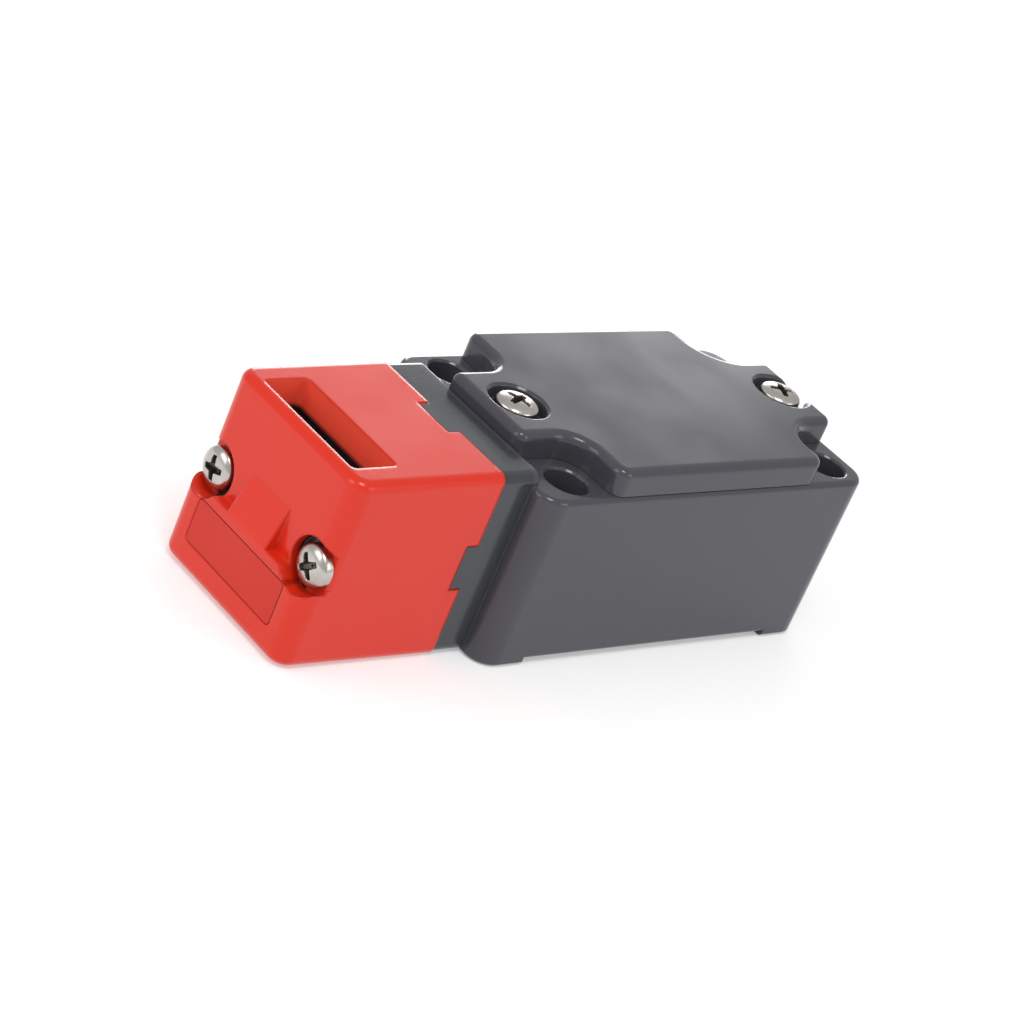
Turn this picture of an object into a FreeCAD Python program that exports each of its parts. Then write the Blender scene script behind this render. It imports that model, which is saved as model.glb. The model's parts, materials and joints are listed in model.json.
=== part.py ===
"""Tongue interlock switch: a 30 mm wide moulded switch body with a turnable metal key head.

Frame: +Z points out of the mounting face, +X runs from the head to the conduit end and +Y
across the width. The origin lies on the mounting face, midway between the four fixing holes.
"""

import FreeCAD, Part
import math
import os

import Sketcher
from FreeCAD import Placement, Rotation, Vector

doc = FreeCAD.newDocument("tongue_interlock_switch")

# ---------------------------------------------------------------------------------------------
# Driving dimensions, in millimetres and degrees
# ---------------------------------------------------------------------------------------------

DRIVING_SIZES = [
    # fixing pattern and switch body
    ("fixing_spacing_x", 43.0, "fixing holes, along the body"),
    ("fixing_spacing_y", 22.0, "fixing holes, across the body"),
    ("fixing_diameter", 5.2, "fixing hole"),
    ("fixing_setback", 5.8, "body front to the first fixing holes"),
    ("body_length", 53.2, "body without its neck"),
    ("body_width", 30.0, "standard narrow switch width"),
    ("body_height", 22.2, "mounting face to the cover seat"),
    ("body_corner_radius", 3.0, "upright corners of the body"),
    ("body_rim_radius", 0.7, "rim round the cover seat"),
    ("foot_chamfer", 0.4, "lower edge of the feet"),
    ("underside_radius", 0.5, "long lower edges between the feet"),
    ("hole_chamfer", 0.25, "mouths of the fixing holes"),
    ("foot_height", 0.75, "feet under both ends of the body"),
    ("foot_length", 6.6, "length of a foot"),
    ("cavity_setback", 12.1, "body front to the cavity"),
    ("cavity_length", 29.6, "cavity"),
    ("cavity_width", 24.8, "cavity"),
    ("cavity_floor", 3.6, "height of the cavity floor"),
    ("cavity_corner_radius", 2.0, "upright corners of the cavity"),
    ("conduit_radius", 7.25, "core radius of the M16 x 1.5 entry"),
    ("conduit_height", 10.9, "height of the entry's axis"),
    ("conduit_chamfer", 0.8, "mouth of the entry"),
    # neck and head
    ("axis_height", 11.9, "height of the head's axis"),
    ("neck_length", 4.5, "neck that carries the head"),
    ("neck_size", 23.5, "square section of the neck and of the head's back"),
    ("neck_radius", 1.2, "long edges of the neck"),
    ("key_width", 5.6, "indexing keys that stop the head turning"),
    ("key_length", 1.5, "indexing keys"),
    ("key_depth", 1.6, "indexing keys"),
    ("head_length", 22.0, "head along its axis"),
    ("head_front_size", 23.3, "square section of the head's front"),
    ("head_draft", 0.5, "draft of the head's sides, degrees"),
    ("head_radius", 1.1, "upper and lower rims of the head"),
    ("head_front_radius", 2.2, "upright front edges of the head"),
    ("corner_overlap", 0.004, "round upright corners past the drafted sides"),
    ("face_step", 1.45, "upper end face behind the lower one"),
    ("face_step_height", 10.2, "height where the end face steps back"),
    ("ramp_width", 7.2, "ramp between the head screws"),
    ("ramp_rise", 5.1, "ramp between the head screws"),
    ("mouth_setback", 2.75, "head front to the upper key mouth"),
    ("mouth_length", 6.2, "upper key mouth"),
    ("mouth_width", 17.0, "upper key mouth"),
    ("mouth_depth", 4.4, "upper key mouth"),
    ("mouth_corner_radius", 0.7, "upright corners of the mouth"),
    ("slot_thickness", 2.8, "key slot"),
    ("slot_width", 14.0, "key slot"),
    ("slot_setback", 4.0, "head front to the upper key slot"),
    ("slot_bottom", 4.4, "height of the bottom of the upper slot"),
    ("plug_width", 16.2, "blanking plug"),
    ("plug_height", 5.3, "blanking plug"),
    ("plug_depth", 2.6, "blanking plug"),
    ("plug_centre", 6.2, "height of the plug and of the end slot"),
    ("plug_clearance", 0.12, "round the plug"),
    ("plug_corner_radius", 0.5, "corners of the plug"),
    ("head_cavity_width", 13.2, "mechanism space in the head"),
    ("head_cavity_height", 12.8, "mechanism space in the head"),
    # head screws
    ("head_screw_offset", 9.2, "head screws to the head's axis"),
    ("head_screw_radius", 1.25, "M2.5 shank"),
    ("head_screw_hole", 1.4, "clearance hole radius"),
    ("head_screw_head", 2.45, "pan head radius"),
    ("head_screw_head_height", 1.8, "pan head"),
    ("head_screw_pocket", 3.25, "pocket radius"),
    ("head_screw_pocket_depth", 1.3, "pocket below the upper end face"),
    ("head_screw_grip", 8.0, "thread in the body"),
    # key cam, its carrier and the plunger
    ("cam_setback", 11.6, "head front to the cam axle"),
    ("cam_radius", 5.6, "drum"),
    ("cam_side_play", 0.28, "drum to a cheek of its carrier"),
    ("cam_turn", 75.0, "turn while the key goes in"),
    ("plunger_travel", 2.6, "stroke of the plunger and contacts"),
    ("cam_dwell", 22.0, "low dwell, degrees"),
    ("cam_rise", 13.0, "rise from the dwell to the drum, degrees"),
    ("cam_upper_notch", 150.0, "notch towards the upper slot, degrees"),
    ("cam_end_notch", 220.0, "notch towards the end slot, degrees"),
    ("cam_notch_width", 3.2, "notch that takes the key's bar"),
    ("cam_notch_depth", 2.6, "notch that takes the key's bar"),
    ("axle_radius", 1.5, "cam axle"),
    ("running_clearance", 0.04, "radial, pins and plunger in their bores"),
    ("cheek_thickness", 2.2, "cam carrier"),
    ("carrier_plate", 1.6, "cam carrier"),
    ("key_clearance", 0.4, "round the moving key and the plunger's neck"),
    ("nose_radius", 1.2, "rounded nose of the plunger"),
    ("nose_width", 4.2, "nose along the cam's axis"),
    ("nose_gap", 0.08, "oil gap between cam and nose"),
    ("plunger_radius", 2.5, "plunger"),
    ("seal_radius", 4.4, "plunger seal"),
    ("seal_thickness", 2.0, "plunger seal"),
    # cover
    ("cover_height", 3.3, "cover above its seat"),
    ("cover_side_margin", 0.25, "body side to the cover"),
    ("cover_edge_radius", 1.0, "top edge"),
    ("tab_width", 13.2, "screw tabs at both ends of the cover"),
    ("tab_front_margin", 1.0, "body front to the cover"),
    ("tab_end_margin", 0.3, "body end to the cover"),
    ("main_front_margin", 9.8, "body front to the cover's full width"),
    ("main_end_margin", 9.6, "body end to the cover's full width"),
    ("notch_front_radius", 3.7, "notch round a front fixing hole"),
    ("notch_end_radius", 5.4, "notch round an end fixing hole"),
    ("tab_corner_radius", 1.2, "upright corners of the tabs"),
    ("main_corner_radius", 1.6, "upright corners of the full width"),
    ("cover_screw_front", 5.9, "body front to the first cover screw"),
    ("cover_screw_end", 3.5, "body end to the second cover screw"),
    ("cover_screw_radius", 1.45, "M3 shank"),
    ("cover_screw_head", 2.6, "raised head radius"),
    ("cover_screw_head_height", 1.7, "raised head"),
    ("cover_screw_grip", 3.6, "thread in the body"),
    ("cover_recess_radius", 3.5, "recess round a cover screw"),
    ("cover_recess_depth", 1.8, "recess round a cover screw"),
    ("cover_recess_rim", 0.3, "rim of the recess"),
    ("cover_screw_play", 0.2, "cover hole round its screw"),
    ("screw_tip_gap", 0.2, "below a screw's tip"),
    ("cover_hollow_depth", 1.3, "hollow under the cover"),
    ("gasket_width", 1.3, "cover gasket"),
    ("gasket_height", 1.0, "cover gasket"),
    ("gasket_margin", 0.25, "cavity edge to the gasket"),
    ("fit_clearance", 0.05, "between parts that slip together"),
    # contact block
    ("block_length", 21.1, "contact block"),
    ("block_gap", 0.3, "contact block to the cavity's front"),
    ("block_side_gap", 0.2, "contact block to the cavity's sides"),
    ("block_height", 11.8, "contact block"),
    ("channel_clearance", 0.1, "contact carrier in its channel"),
    ("contact_carrier_width", 5.0, "contact carrier"),
    ("contact_carrier_wall", 2.6, "front wall of the contact carrier"),
    ("carrier_web", 1.4, "between the two windows"),
    ("carrier_tail", 2.5, "behind the second window"),
    ("carrier_gap", 0.2, "front of the carrier to the cavity at full stroke"),
    ("bridge_thickness", 1.0, "moving contact"),
    ("bridge_height", 2.5, "moving contact"),
    ("bridge_width", 13.8, "moving contact"),
    ("button_radius", 0.9, "contact button"),
    ("button_height", 0.4, "contact button"),
    ("button_offset", 6.0, "contact buttons to the middle"),
    ("contact_gap", 0.1, "closed contacts, over-travel left out"),
    ("nc_spring_length", 2.2, "contact spring"),
    ("aux_spring_length", 2.7, "contact spring"),
    ("contact_spring_radius", 1.0, "contact spring"),
    ("contact_spring_wire", 0.2, "wire radius"),
    ("return_spring_length", 4.2, "return spring"),
    ("return_spring_radius", 1.7, "return spring"),
    ("return_spring_wire", 0.28, "wire radius"),
    ("chamber_width", 14.8, "space for a bridge"),
    ("chamber_floor", 5.0, "block base to the floor of a chamber"),
    ("strip_thickness", 0.8, "terminal strips"),
    ("strip_cap_gap", 0.3, "terminal strips to the cap"),
    ("strip_side_gap", 0.1, "terminal strips to their chamber"),
    ("strip_edge_margin", 0.2, "block side to the terminal strips"),
    ("strip_foot", 5.7, "terminal strips along the block"),
    ("terminal_margin", 2.5, "block side to the terminal screws"),
    ("terminal_screw_radius", 1.45, "M3 shank"),
    ("terminal_screw_length", 7.0, "shank in the block"),
    ("terminal_head_radius", 2.5, "terminal screw head"),
    ("terminal_head_height", 1.9, "terminal screw head"),
    ("clamp_size", 5.2, "square clamp plate"),
    ("clamp_thickness", 0.8, "square clamp plate"),
    ("cap_width", 9.0, "cap over the contact carrier"),
    ("cap_thickness", 1.3, "cap over the contact carrier"),
    ("cap_screw_offset", 3.6, "cap screws to the middle"),
    ("cap_screw_radius", 0.75, "cap screws"),
    ("cap_screw_head", 1.2, "head radius of the cap screws"),
    ("cap_screw_grip", 3.0, "thread in the block"),
    ("block_screw_radius", 1.2, "screws that hold the block"),
    ("block_screw_grip", 2.0, "thread in the body's floor"),
    ("block_screw_margin", 2.6, "block's end to its screws"),
]

sheet = doc.addObject("Spreadsheet::Sheet", "Sizes")
for row, (alias, value, note) in enumerate(DRIVING_SIZES, start=1):
    sheet.set(f"A{row}", alias)
    sheet.set(f"B{row}", str(value))
    sheet.set(f"C{row}", note)
    sheet.setAlias(f"B{row}", alias)
doc.recompute()


class Size:
    """A size with its formula for an expression and its present value."""

    def __init__(self, formula, value):
        self.formula = formula
        self.value = value

    def __float__(self):
        return float(self.value)

    def __add__(self, other):
        other = as_size(other)
        return Size(f"({self.formula} + {other.formula})", self.value + other.value)

    def __sub__(self, other):
        other = as_size(other)
        return Size(f"({self.formula} - {other.formula})", self.value - other.value)

    def __mul__(self, other):
        other = as_size(other)
        return Size(f"({self.formula} * {other.formula})", self.value * other.value)

    def __truediv__(self, other):
        other = as_size(other)
        return Size(f"({self.formula} / {other.formula})", self.value / other.value)

    def __neg__(self):
        return Size(f"(0 - {self.formula})", -self.value)


def as_size(number):
    """Give a plain number the same manners as a size from the sheet."""
    return number if isinstance(number, Size) else Size(repr(float(number)), float(number))


class Sizes:
    """Reads a driving dimension from the sheet by its alias."""

    def __getattr__(self, alias):
        return Size(f"Sizes.{alias}", float(sheet.get(alias)))


S = Sizes()
ZERO = as_size(0)

# ---------------------------------------------------------------------------------------------
# Places worked out from the driving dimensions
# ---------------------------------------------------------------------------------------------

body_front = -(S.fixing_spacing_x / 2 + S.fixing_setback)
body_end = body_front + S.body_length
half_body = S.body_width / 2
cavity_front = body_front + S.cavity_setback
cavity_end = cavity_front + S.cavity_length
half_cavity = S.cavity_width / 2

neck_front = body_front - S.neck_length
head_front = neck_front - S.head_length
half_neck = S.neck_size / 2
half_head_front = S.head_front_size / 2
head_top = S.axis_height + half_neck
upper_face = head_front + S.face_step
draft_rate = Size("tan(Sizes.head_draft * 1 deg)", math.tan(math.radians(float(S.head_draft))))

cam_x = head_front + S.cam_setback
cam_low_radius = S.cam_radius - S.plunger_travel
half_cam = S.head_cavity_width / 2 - S.plug_clearance - S.cheek_thickness - S.cam_side_play
mouth_front = head_front + S.mouth_setback
slot_front = head_front + S.slot_setback
head_cavity_front = cam_x - S.head_cavity_height / 2
plunger_tip = cam_x + S.cam_radius + S.nose_gap

cover_top = S.body_height + S.cover_height
tab_front = body_front + S.tab_front_margin
tab_end = body_end - S.tab_end_margin
main_front = body_front + S.main_front_margin
main_end = body_end - S.main_end_margin
half_cover = half_body - S.cover_side_margin
half_tab = S.tab_width / 2
cover_screw_places = [body_front + S.cover_screw_front, body_end - S.cover_screw_end]
recess_floor = cover_top - S.cover_recess_depth

block_front = cavity_front + S.block_gap
block_end = block_front + S.block_length
block_top = S.cavity_floor + S.block_height
half_block = half_cavity - S.block_side_gap
terminal_side = half_block - S.terminal_margin
half_carrier = S.contact_carrier_width / 2
half_channel = half_carrier + S.channel_clearance
half_chamber = S.chamber_width / 2
strip_inner = S.cap_width / 2 + S.strip_cap_gap
carrier_front = cavity_front + S.carrier_gap + S.plunger_travel
nc_bridge_front = carrier_front + S.contact_carrier_wall
nc_window_end = nc_bridge_front + S.bridge_thickness + S.nc_spring_length
aux_window_front = nc_window_end + S.carrier_web
aux_bridge_front = aux_window_front + S.aux_spring_length
aux_window_end = aux_bridge_front + S.bridge_thickness
carrier_end = aux_window_end + S.carrier_tail
spring_seat = carrier_end + S.return_spring_length
nc_strip_face = nc_bridge_front - S.button_height * 2 - S.plunger_travel - S.contact_gap
aux_strip_face = aux_window_end + S.button_height * 2 + S.contact_gap
nc_strip_front = nc_strip_face - S.strip_thickness
aux_strip_end = aux_strip_face + S.strip_thickness
nc_screw_x = nc_strip_front + S.strip_foot / 2
aux_screw_x = aux_strip_end - S.strip_foot / 2
terminal_screw_places = [
    (x, side) for x in (nc_screw_x, aux_screw_x) for side in (-terminal_side, terminal_side)
]
chamber_bottom = S.cavity_floor + S.chamber_floor
nc_chamber_end = nc_bridge_front + S.bridge_thickness + S.block_gap
aux_chamber_front = aux_bridge_front - S.plunger_travel - S.block_gap
divider_x = (nc_chamber_end + aux_chamber_front) / 2
block_screw_x = block_end - S.block_screw_margin

# ---------------------------------------------------------------------------------------------
# Helpers
# ---------------------------------------------------------------------------------------------

pieces = []


def bind(thing, name, size):
    """Tie a property to a size."""
    thing.setExpression(name, as_size(size).formula)


def new_body(label):
    """Start a sub-part as a PartDesign body that may hold several solids."""
    body = doc.addObject("PartDesign::Body", label)
    body.Label = label
    if hasattr(body, "AllowCompound"):
        body.AllowCompound = True
    pieces.append(body)
    return body


def new_sketch(body, plane, offset=ZERO, across=ZERO, up=ZERO):
    """Attach a sketch to one of the body's own planes, moved along the plane's normal."""
    sketch = body.newObject("Sketcher::SketchObject", f"{body.Label}_sketch")
    support = [item for item in body.Origin.OriginFeatures if item.Role == plane][0]
    sketch.AttachmentSupport = [(support, "")]
    sketch.MapMode = "FlatFace"
    normal = -as_size(offset) if plane == "XZ_Plane" else as_size(offset)
    for axis, size in (("x", across), ("y", up), ("z", normal)):
        bind(sketch, f"AttachmentOffset.Base.{axis}", size)
    return sketch


def tie_point(sketch, line, end, across, up):
    """Hold the end of a line at a place measured from the sketch's origin."""
    for kind, size, axis in (("DistanceX", across, -2), ("DistanceY", up, -1)):
        size = as_size(size)
        if abs(size.value) < 1e-9:
            sketch.addConstraint(Sketcher.Constraint("PointOnObject", line, end, axis))
            continue
        index = sketch.addConstraint(Sketcher.Constraint(kind, -1, 1, line, end, size.value))
        bind(sketch, f"Constraints[{index}]", size)


def polygon(sketch, corners):
    """Draw a closed outline whose corners are tied to sizes."""
    first = sketch.GeometryCount
    places = [Vector(float(across), float(up), 0) for across, up in corners]
    count = len(places)
    for index in range(count):
        segment = Part.LineSegment(places[index], places[(index + 1) % count])
        sketch.addGeometry(segment, False)
    for index in range(count):
        following = first + (index + 1) % count
        sketch.addConstraint(Sketcher.Constraint("Coincident", first + index, 2, following, 1))
    for index, (across, up) in enumerate(corners):
        tie_point(sketch, first + index, 1, across, up)


def rectangle(sketch, left, right, low, high):
    """Draw a rectangle between four sizes."""
    polygon(sketch, [(left, low), (right, low), (right, high), (left, high)])


def rounded_rectangle(sketch, left, right, low, high, radius):
    """Draw a rectangle with arcs at its corners, all tied to sizes."""
    lines = [
        ((left + radius, low), (right - radius, low)),
        ((right, low + radius), (right, high - radius)),
        ((right - radius, high), (left + radius, high)),
        ((left, high - radius), (left, low + radius)),
    ]
    centres = [
        (right - radius, low + radius),
        (right - radius, high - radius),
        (left + radius, high - radius),
        (left + radius, low + radius),
    ]
    first = sketch.GeometryCount
    for start, end in lines:
        places = [Vector(float(across), float(up), 0) for across, up in (start, end)]
        sketch.addGeometry(Part.LineSegment(*places), False)
    for quarter, (across, up) in enumerate(centres):
        ring = Part.Circle(Vector(float(across), float(up), 0), Vector(0, 0, 1), float(radius))
        begin = math.pi / 2 * (quarter - 1)
        sketch.addGeometry(Part.ArcOfCircle(ring, begin, begin + math.pi / 2), False)
    for side in range(4):
        line, arc, following = first + side, first + 4 + side, first + (side + 1) % 4
        sketch.addConstraint(Sketcher.Constraint("Coincident", line, 2, arc, 1))
        sketch.addConstraint(Sketcher.Constraint("Coincident", arc, 2, following, 1))
    for side, (start, end) in enumerate(lines):
        tie_point(sketch, first + side, 1, *start)
        tie_point(sketch, first + side, 2, *end)
    for side in range(4):
        held = sketch.addConstraint(Sketcher.Constraint("Radius", first + 4 + side, float(radius)))
        bind(sketch, f"Constraints[{held}]", radius)


def circle(sketch, across, up, radius):
    """Draw a circle whose centre and radius are tied to sizes."""
    middle = Vector(float(across), float(up), 0)
    index = sketch.addGeometry(Part.Circle(middle, Vector(0, 0, 1), float(radius)), False)
    tie_point(sketch, index, 3, across, up)
    held = sketch.addConstraint(Sketcher.Constraint("Radius", index, float(radius)))
    bind(sketch, f"Constraints[{held}]", radius)


def finish_feature(body, feature, grows):
    """Recompute and make sure that the feature changed the solid the right way."""
    before = body.Tip.Shape.Volume if body.Tip and not body.Tip.Shape.isNull() else 0.0
    body.Tip = feature
    doc.recompute()
    after = feature.Shape.Volume if not feature.Shape.isNull() else 0.0
    if grows and after <= before + 1e-6 or not grows and after >= before - 1e-6:
        raise RuntimeError(f"{body.Label}: {feature.Name} went from {before:.2f} to {after:.2f}")
    return feature


def extrude(body, sketch, kind, length, reverse=False):
    """Pad or pocket a sketch by a tied length."""
    tip = body.Tip
    feature = body.newObject(f"PartDesign::{kind}", f"{body.Label}_{kind.lower()}")
    feature.Profile = sketch
    bind(feature, "Length", length)
    feature.Reversed = reverse
    sketch.Visibility = False
    body.Tip = tip
    return finish_feature(body, feature, kind == "Pad")


def box_feature(body, kind, x_span, y_span, z_span, corner):
    """Pad or pocket a box between six sizes, with rounded upright edges where asked."""
    low, high = z_span
    sketch = new_sketch(body, "XY_Plane", low if kind == "Pad" else high)
    if corner is None:
        rectangle(sketch, *x_span, *y_span)
    else:
        rounded_rectangle(sketch, *x_span, *y_span, corner)
    return extrude(body, sketch, kind, high - low)


def pad_box(body, x_span, y_span, z_span, corner=None):
    """Add a box between six sizes."""
    return box_feature(body, "Pad", x_span, y_span, z_span, corner)


def cut_box(body, x_span, y_span, z_span, corner=None):
    """Cut a box between six sizes."""
    return box_feature(body, "Pocket", x_span, y_span, z_span, corner)


def cut_round_x(body, x_span, centres, radius):
    """Cut round holes along X at (y, z) centres."""
    start, end = x_span
    sketch = new_sketch(body, "YZ_Plane", end)
    for across, up in centres:
        circle(sketch, across, up, radius)
    return extrude(body, sketch, "Pocket", end - start)


def cut_round_z(body, z_span, centres, radius):
    """Cut round holes along Z at (x, y) centres."""
    low, high = z_span
    sketch = new_sketch(body, "XY_Plane", high)
    for across, up in centres:
        circle(sketch, across, up, radius)
    return extrude(body, sketch, "Pocket", high - low)


def turn(body, sketch, axis):
    """Revolve a sketch a full turn about one of its own axes."""
    tip = body.Tip
    feature = body.newObject("PartDesign::Revolution", f"{body.Label}_turned")
    feature.Profile = sketch
    feature.ReferenceAxis = (sketch, [axis])
    feature.Angle = 360
    sketch.Visibility = False
    body.Tip = tip
    return finish_feature(body, feature, True)


def edge_names(shape, wanted):
    """Names of the edges for which wanted(edge) holds."""
    return [f"Edge{number}" for number, edge in enumerate(shape.Edges, start=1) if wanted(edge)]


def runs_along(edge, axis):
    """Whether an edge is straight and parallel to x, y or z."""
    if not isinstance(edge.Curve, Part.Line):
        return False
    return abs(abs(getattr(edge.Curve.Direction, axis)) - 1) < 1e-3


def near(value, size, slack=0.02):
    """Whether a coordinate lies at a size."""
    return abs(value - float(size)) < slack


def lies_at(edge, height):
    """Whether an edge lies level at a height."""
    return near(edge.BoundBox.ZMin, height) and near(edge.BoundBox.ZMax, height)


def round_edges(body, wanted, radius, kind="Fillet"):
    """Fillet or chamfer the edges of the body's tip that wanted() picks."""
    tip = body.Tip
    names = edge_names(tip.Shape, wanted)
    if not names:
        raise RuntimeError(f"{body.Label}: no edge to round")
    feature = body.newObject(f"PartDesign::{kind}", f"{body.Label}_{kind.lower()}")
    feature.Base = (tip, names)
    bind(feature, "Radius" if kind == "Fillet" else "Size", radius)
    body.Tip = feature
    doc.recompute()
    if feature.Shape.isNull() or not feature.Shape.isValid():
        raise RuntimeError(f"{body.Label}: {feature.Name} failed")
    return feature


def solid_feature(label, shape, place):
    """Keep a shape made from formulas as a sub-part of its own, and put it in its place."""
    piece = doc.addObject("Part::Feature", label)
    piece.Label = label
    piece.Shape = shape
    piece.Placement = place
    pieces.append(piece)
    return piece


def upright_screws(label, places, seat, head_radius, head_height, shank_radius, length):
    """Raised-head screws along Z, one turned solid for each (x, y) place."""
    body = new_body(label)
    for across, side in places:
        sketch = new_sketch(body, "XZ_Plane", side, across=across, up=seat)
        corners = [
            (ZERO, -length),
            (shank_radius, -length),
            (shank_radius, ZERO),
            (head_radius, ZERO),
            (head_radius, head_height),
            (ZERO, head_height),
        ]
        polygon(sketch, corners)
        turn(body, sketch, "V_Axis")
    cross_recess_z(body, places, seat + head_height, head_radius)
    return body


def cross_recess_z(body, places, top, head_radius):
    """Cut a cross recess into each upright screw."""
    arm, blade, depth = head_radius * 0.55, head_radius * 0.13, head_radius * 0.3
    for long_x in (True, False):
        half_x, half_y = (arm, blade) if long_x else (blade, arm)
        sketch = new_sketch(body, "XY_Plane", top)
        for across, side in places:
            rectangle(sketch, across - half_x, across + half_x, side - half_y, side + half_y)
        extrude(body, sketch, "Pocket", depth)


# ---------------------------------------------------------------------------------------------
# Casings
# ---------------------------------------------------------------------------------------------


def key_spans(reach, clearance):
    """Spans of the four indexing keys round the head's axis, as (y span, z span) pairs."""
    width = S.key_width / 2 + clearance
    inner = half_neck - S.key_depth - clearance
    axis = S.axis_height
    return [
        ((-width, width), (axis + inner, axis + reach)),
        ((-width, width), (axis - reach, axis - inner)),
        ((inner, reach), (axis - width, axis + width)),
        ((-reach, -inner), (axis - width, axis + width)),
    ]


def make_body_housing():
    """Moulded body: walls, neck with indexing keys, cavity, holes and conduit entry."""
    body = new_body("body_housing")
    side = (-half_body, half_body)
    pad_box(body, (body_front, body_end), side, (ZERO, S.body_height), S.body_corner_radius)
    round_edges(body, lambda edge: lies_at(edge, S.body_height), S.body_rim_radius)
    round_edges(body, lambda edge: lies_at(edge, ZERO), S.foot_chamfer, "Chamfer")
    spare = as_size(1)
    between_feet = (body_front + S.foot_length, body_end - S.foot_length)
    cut_box(body, between_feet, (-half_body - spare, half_body + spare), (ZERO, S.foot_height))
    round_edges(
        body,
        lambda edge: lies_at(edge, S.foot_height) and near(abs(edge.CenterOfMass.y), half_body),
        S.underside_radius,
    )

    neck = new_sketch(body, "YZ_Plane", neck_front)
    low, high = S.axis_height - half_neck, S.axis_height + half_neck
    rounded_rectangle(neck, -half_neck, half_neck, low, high, S.neck_radius)
    extrude(body, neck, "Pad", S.neck_length + S.body_rim_radius)
    for y_span, z_span in key_spans(half_neck, ZERO):
        pad_box(body, (neck_front - S.key_length, neck_front), y_span, z_span)

    cavity = ((cavity_front, cavity_end), (-half_cavity, half_cavity), (S.cavity_floor, S.body_height))
    cut_box(body, *cavity, S.cavity_corner_radius)
    holes = [
        (S.fixing_spacing_x / 2 * along, S.fixing_spacing_y / 2 * across)
        for along in (-1, 1)
        for across in (-1, 1)
    ]
    cut_round_z(body, (ZERO, S.body_height), holes, S.fixing_diameter / 2)
    round_edges(
        body,
        lambda edge: isinstance(edge.Curve, Part.Circle) and lies_at(edge, S.body_height)
        and near(edge.Curve.Radius, S.fixing_diameter / 2),
        S.hole_chamfer,
        "Chamfer",
    )

    bore = S.plunger_radius + S.running_clearance
    cut_round_x(body, (neck_front - S.key_length, cavity_front), [(ZERO, S.axis_height)], bore)
    seal = S.seal_radius + S.fit_clearance
    seal_span = (neck_front - S.key_length, neck_front + S.seal_thickness)
    cut_round_x(body, seal_span, [(ZERO, S.axis_height)], seal)
    screws = [(-S.head_screw_offset, S.axis_height), (S.head_screw_offset, S.axis_height)]
    screw_hole = S.head_screw_radius + S.fit_clearance
    cut_round_x(body, (neck_front - S.key_length, neck_front + S.head_screw_grip), screws, screw_hole)
    cover_hole = S.cover_screw_radius + S.fit_clearance
    places = [(place, ZERO) for place in cover_screw_places]
    cover_hole_floor = S.body_height - S.cover_screw_grip - S.screw_tip_gap
    cut_round_z(body, (cover_hole_floor, S.body_height), places, cover_hole)
    block_holes = [(block_screw_x, -terminal_side), (block_screw_x, terminal_side)]
    block_hole = S.block_screw_radius + S.fit_clearance
    block_thread = (S.cavity_floor - S.block_screw_grip - S.screw_tip_gap, S.cavity_floor)
    cut_round_z(body, block_thread, block_holes, block_hole)

    cut_round_x(body, (cavity_end, body_end), [(ZERO, S.conduit_height)], S.conduit_radius)
    round_edges(
        body,
        lambda edge: isinstance(edge.Curve, Part.Circle) and near(edge.CenterOfMass.x, body_end)
        and near(edge.Curve.Radius, S.conduit_radius),
        S.conduit_chamfer,
        "Chamfer",
    )
    return body


def make_cover():
    """Cover: full width between four notches that leave the fixing holes free."""
    body = new_body("cover")
    height = (S.body_height, cover_top)
    pad_box(body, (tab_front, tab_end), (-half_cover, half_cover), height)
    spare = as_size(1)
    for x_span in ((tab_front - spare, main_front), (main_end, tab_end + spare)):
        for y_span in ((half_tab, half_cover + spare), (-half_cover - spare, -half_tab)):
            cut_box(body, x_span, y_span, height)
    corners = (
        (main_front, half_tab, S.notch_front_radius),
        (main_end, half_tab, S.notch_end_radius),
        (tab_front, half_tab, S.tab_corner_radius),
        (tab_end, half_tab, S.tab_corner_radius),
        (main_front, half_cover, S.main_corner_radius),
        (main_end, half_cover, S.main_corner_radius),
    )
    for along, across, radius in corners:
        round_edges(
            body,
            lambda edge: runs_along(edge, "z") and near(edge.CenterOfMass.x, along)
            and near(abs(edge.CenterOfMass.y), across),
            radius,
        )
    round_edges(body, lambda edge: lies_at(edge, cover_top), S.cover_edge_radius)

    hollow = (S.body_height, S.body_height + S.cover_hollow_depth)
    inner = S.gasket_margin
    inner_length = (cavity_front + inner, cavity_end - inner)
    cut_box(body, inner_length, (-half_cavity + inner, half_cavity - inner), hollow)
    groove = new_sketch(body, "XY_Plane", S.body_height + S.gasket_height)
    gasket_outline(groove, S.fit_clearance)
    extrude(body, groove, "Pocket", S.gasket_height)

    places = [(place, ZERO) for place in cover_screw_places]
    cut_round_z(body, (recess_floor, cover_top), places, S.cover_recess_radius)
    round_edges(
        body,
        lambda edge: isinstance(edge.Curve, Part.Circle) and lies_at(edge, cover_top)
        and near(edge.Curve.Radius, S.cover_recess_radius),
        S.cover_recess_rim,
        "Chamfer",
    )
    cut_round_z(body, height, places, S.cover_screw_radius + S.cover_screw_play)
    return body


def gasket_outline(sketch, clearance):
    """Two rounded-off rectangles round the cavity, wider by a clearance on both sides."""
    margin = S.gasket_margin
    for reach in (margin - clearance, margin + S.gasket_width + clearance):
        rectangle(
            sketch, cavity_front - reach, cavity_end + reach, -half_cavity - reach, half_cavity + reach
        )


def make_cover_gasket():
    """Flat rubber ring between the cover and the body."""
    body = new_body("cover_gasket")
    sketch = new_sketch(body, "XY_Plane", S.body_height)
    gasket_outline(sketch, ZERO)
    extrude(body, sketch, "Pad", S.gasket_height - S.fit_clearance)
    return body


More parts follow.
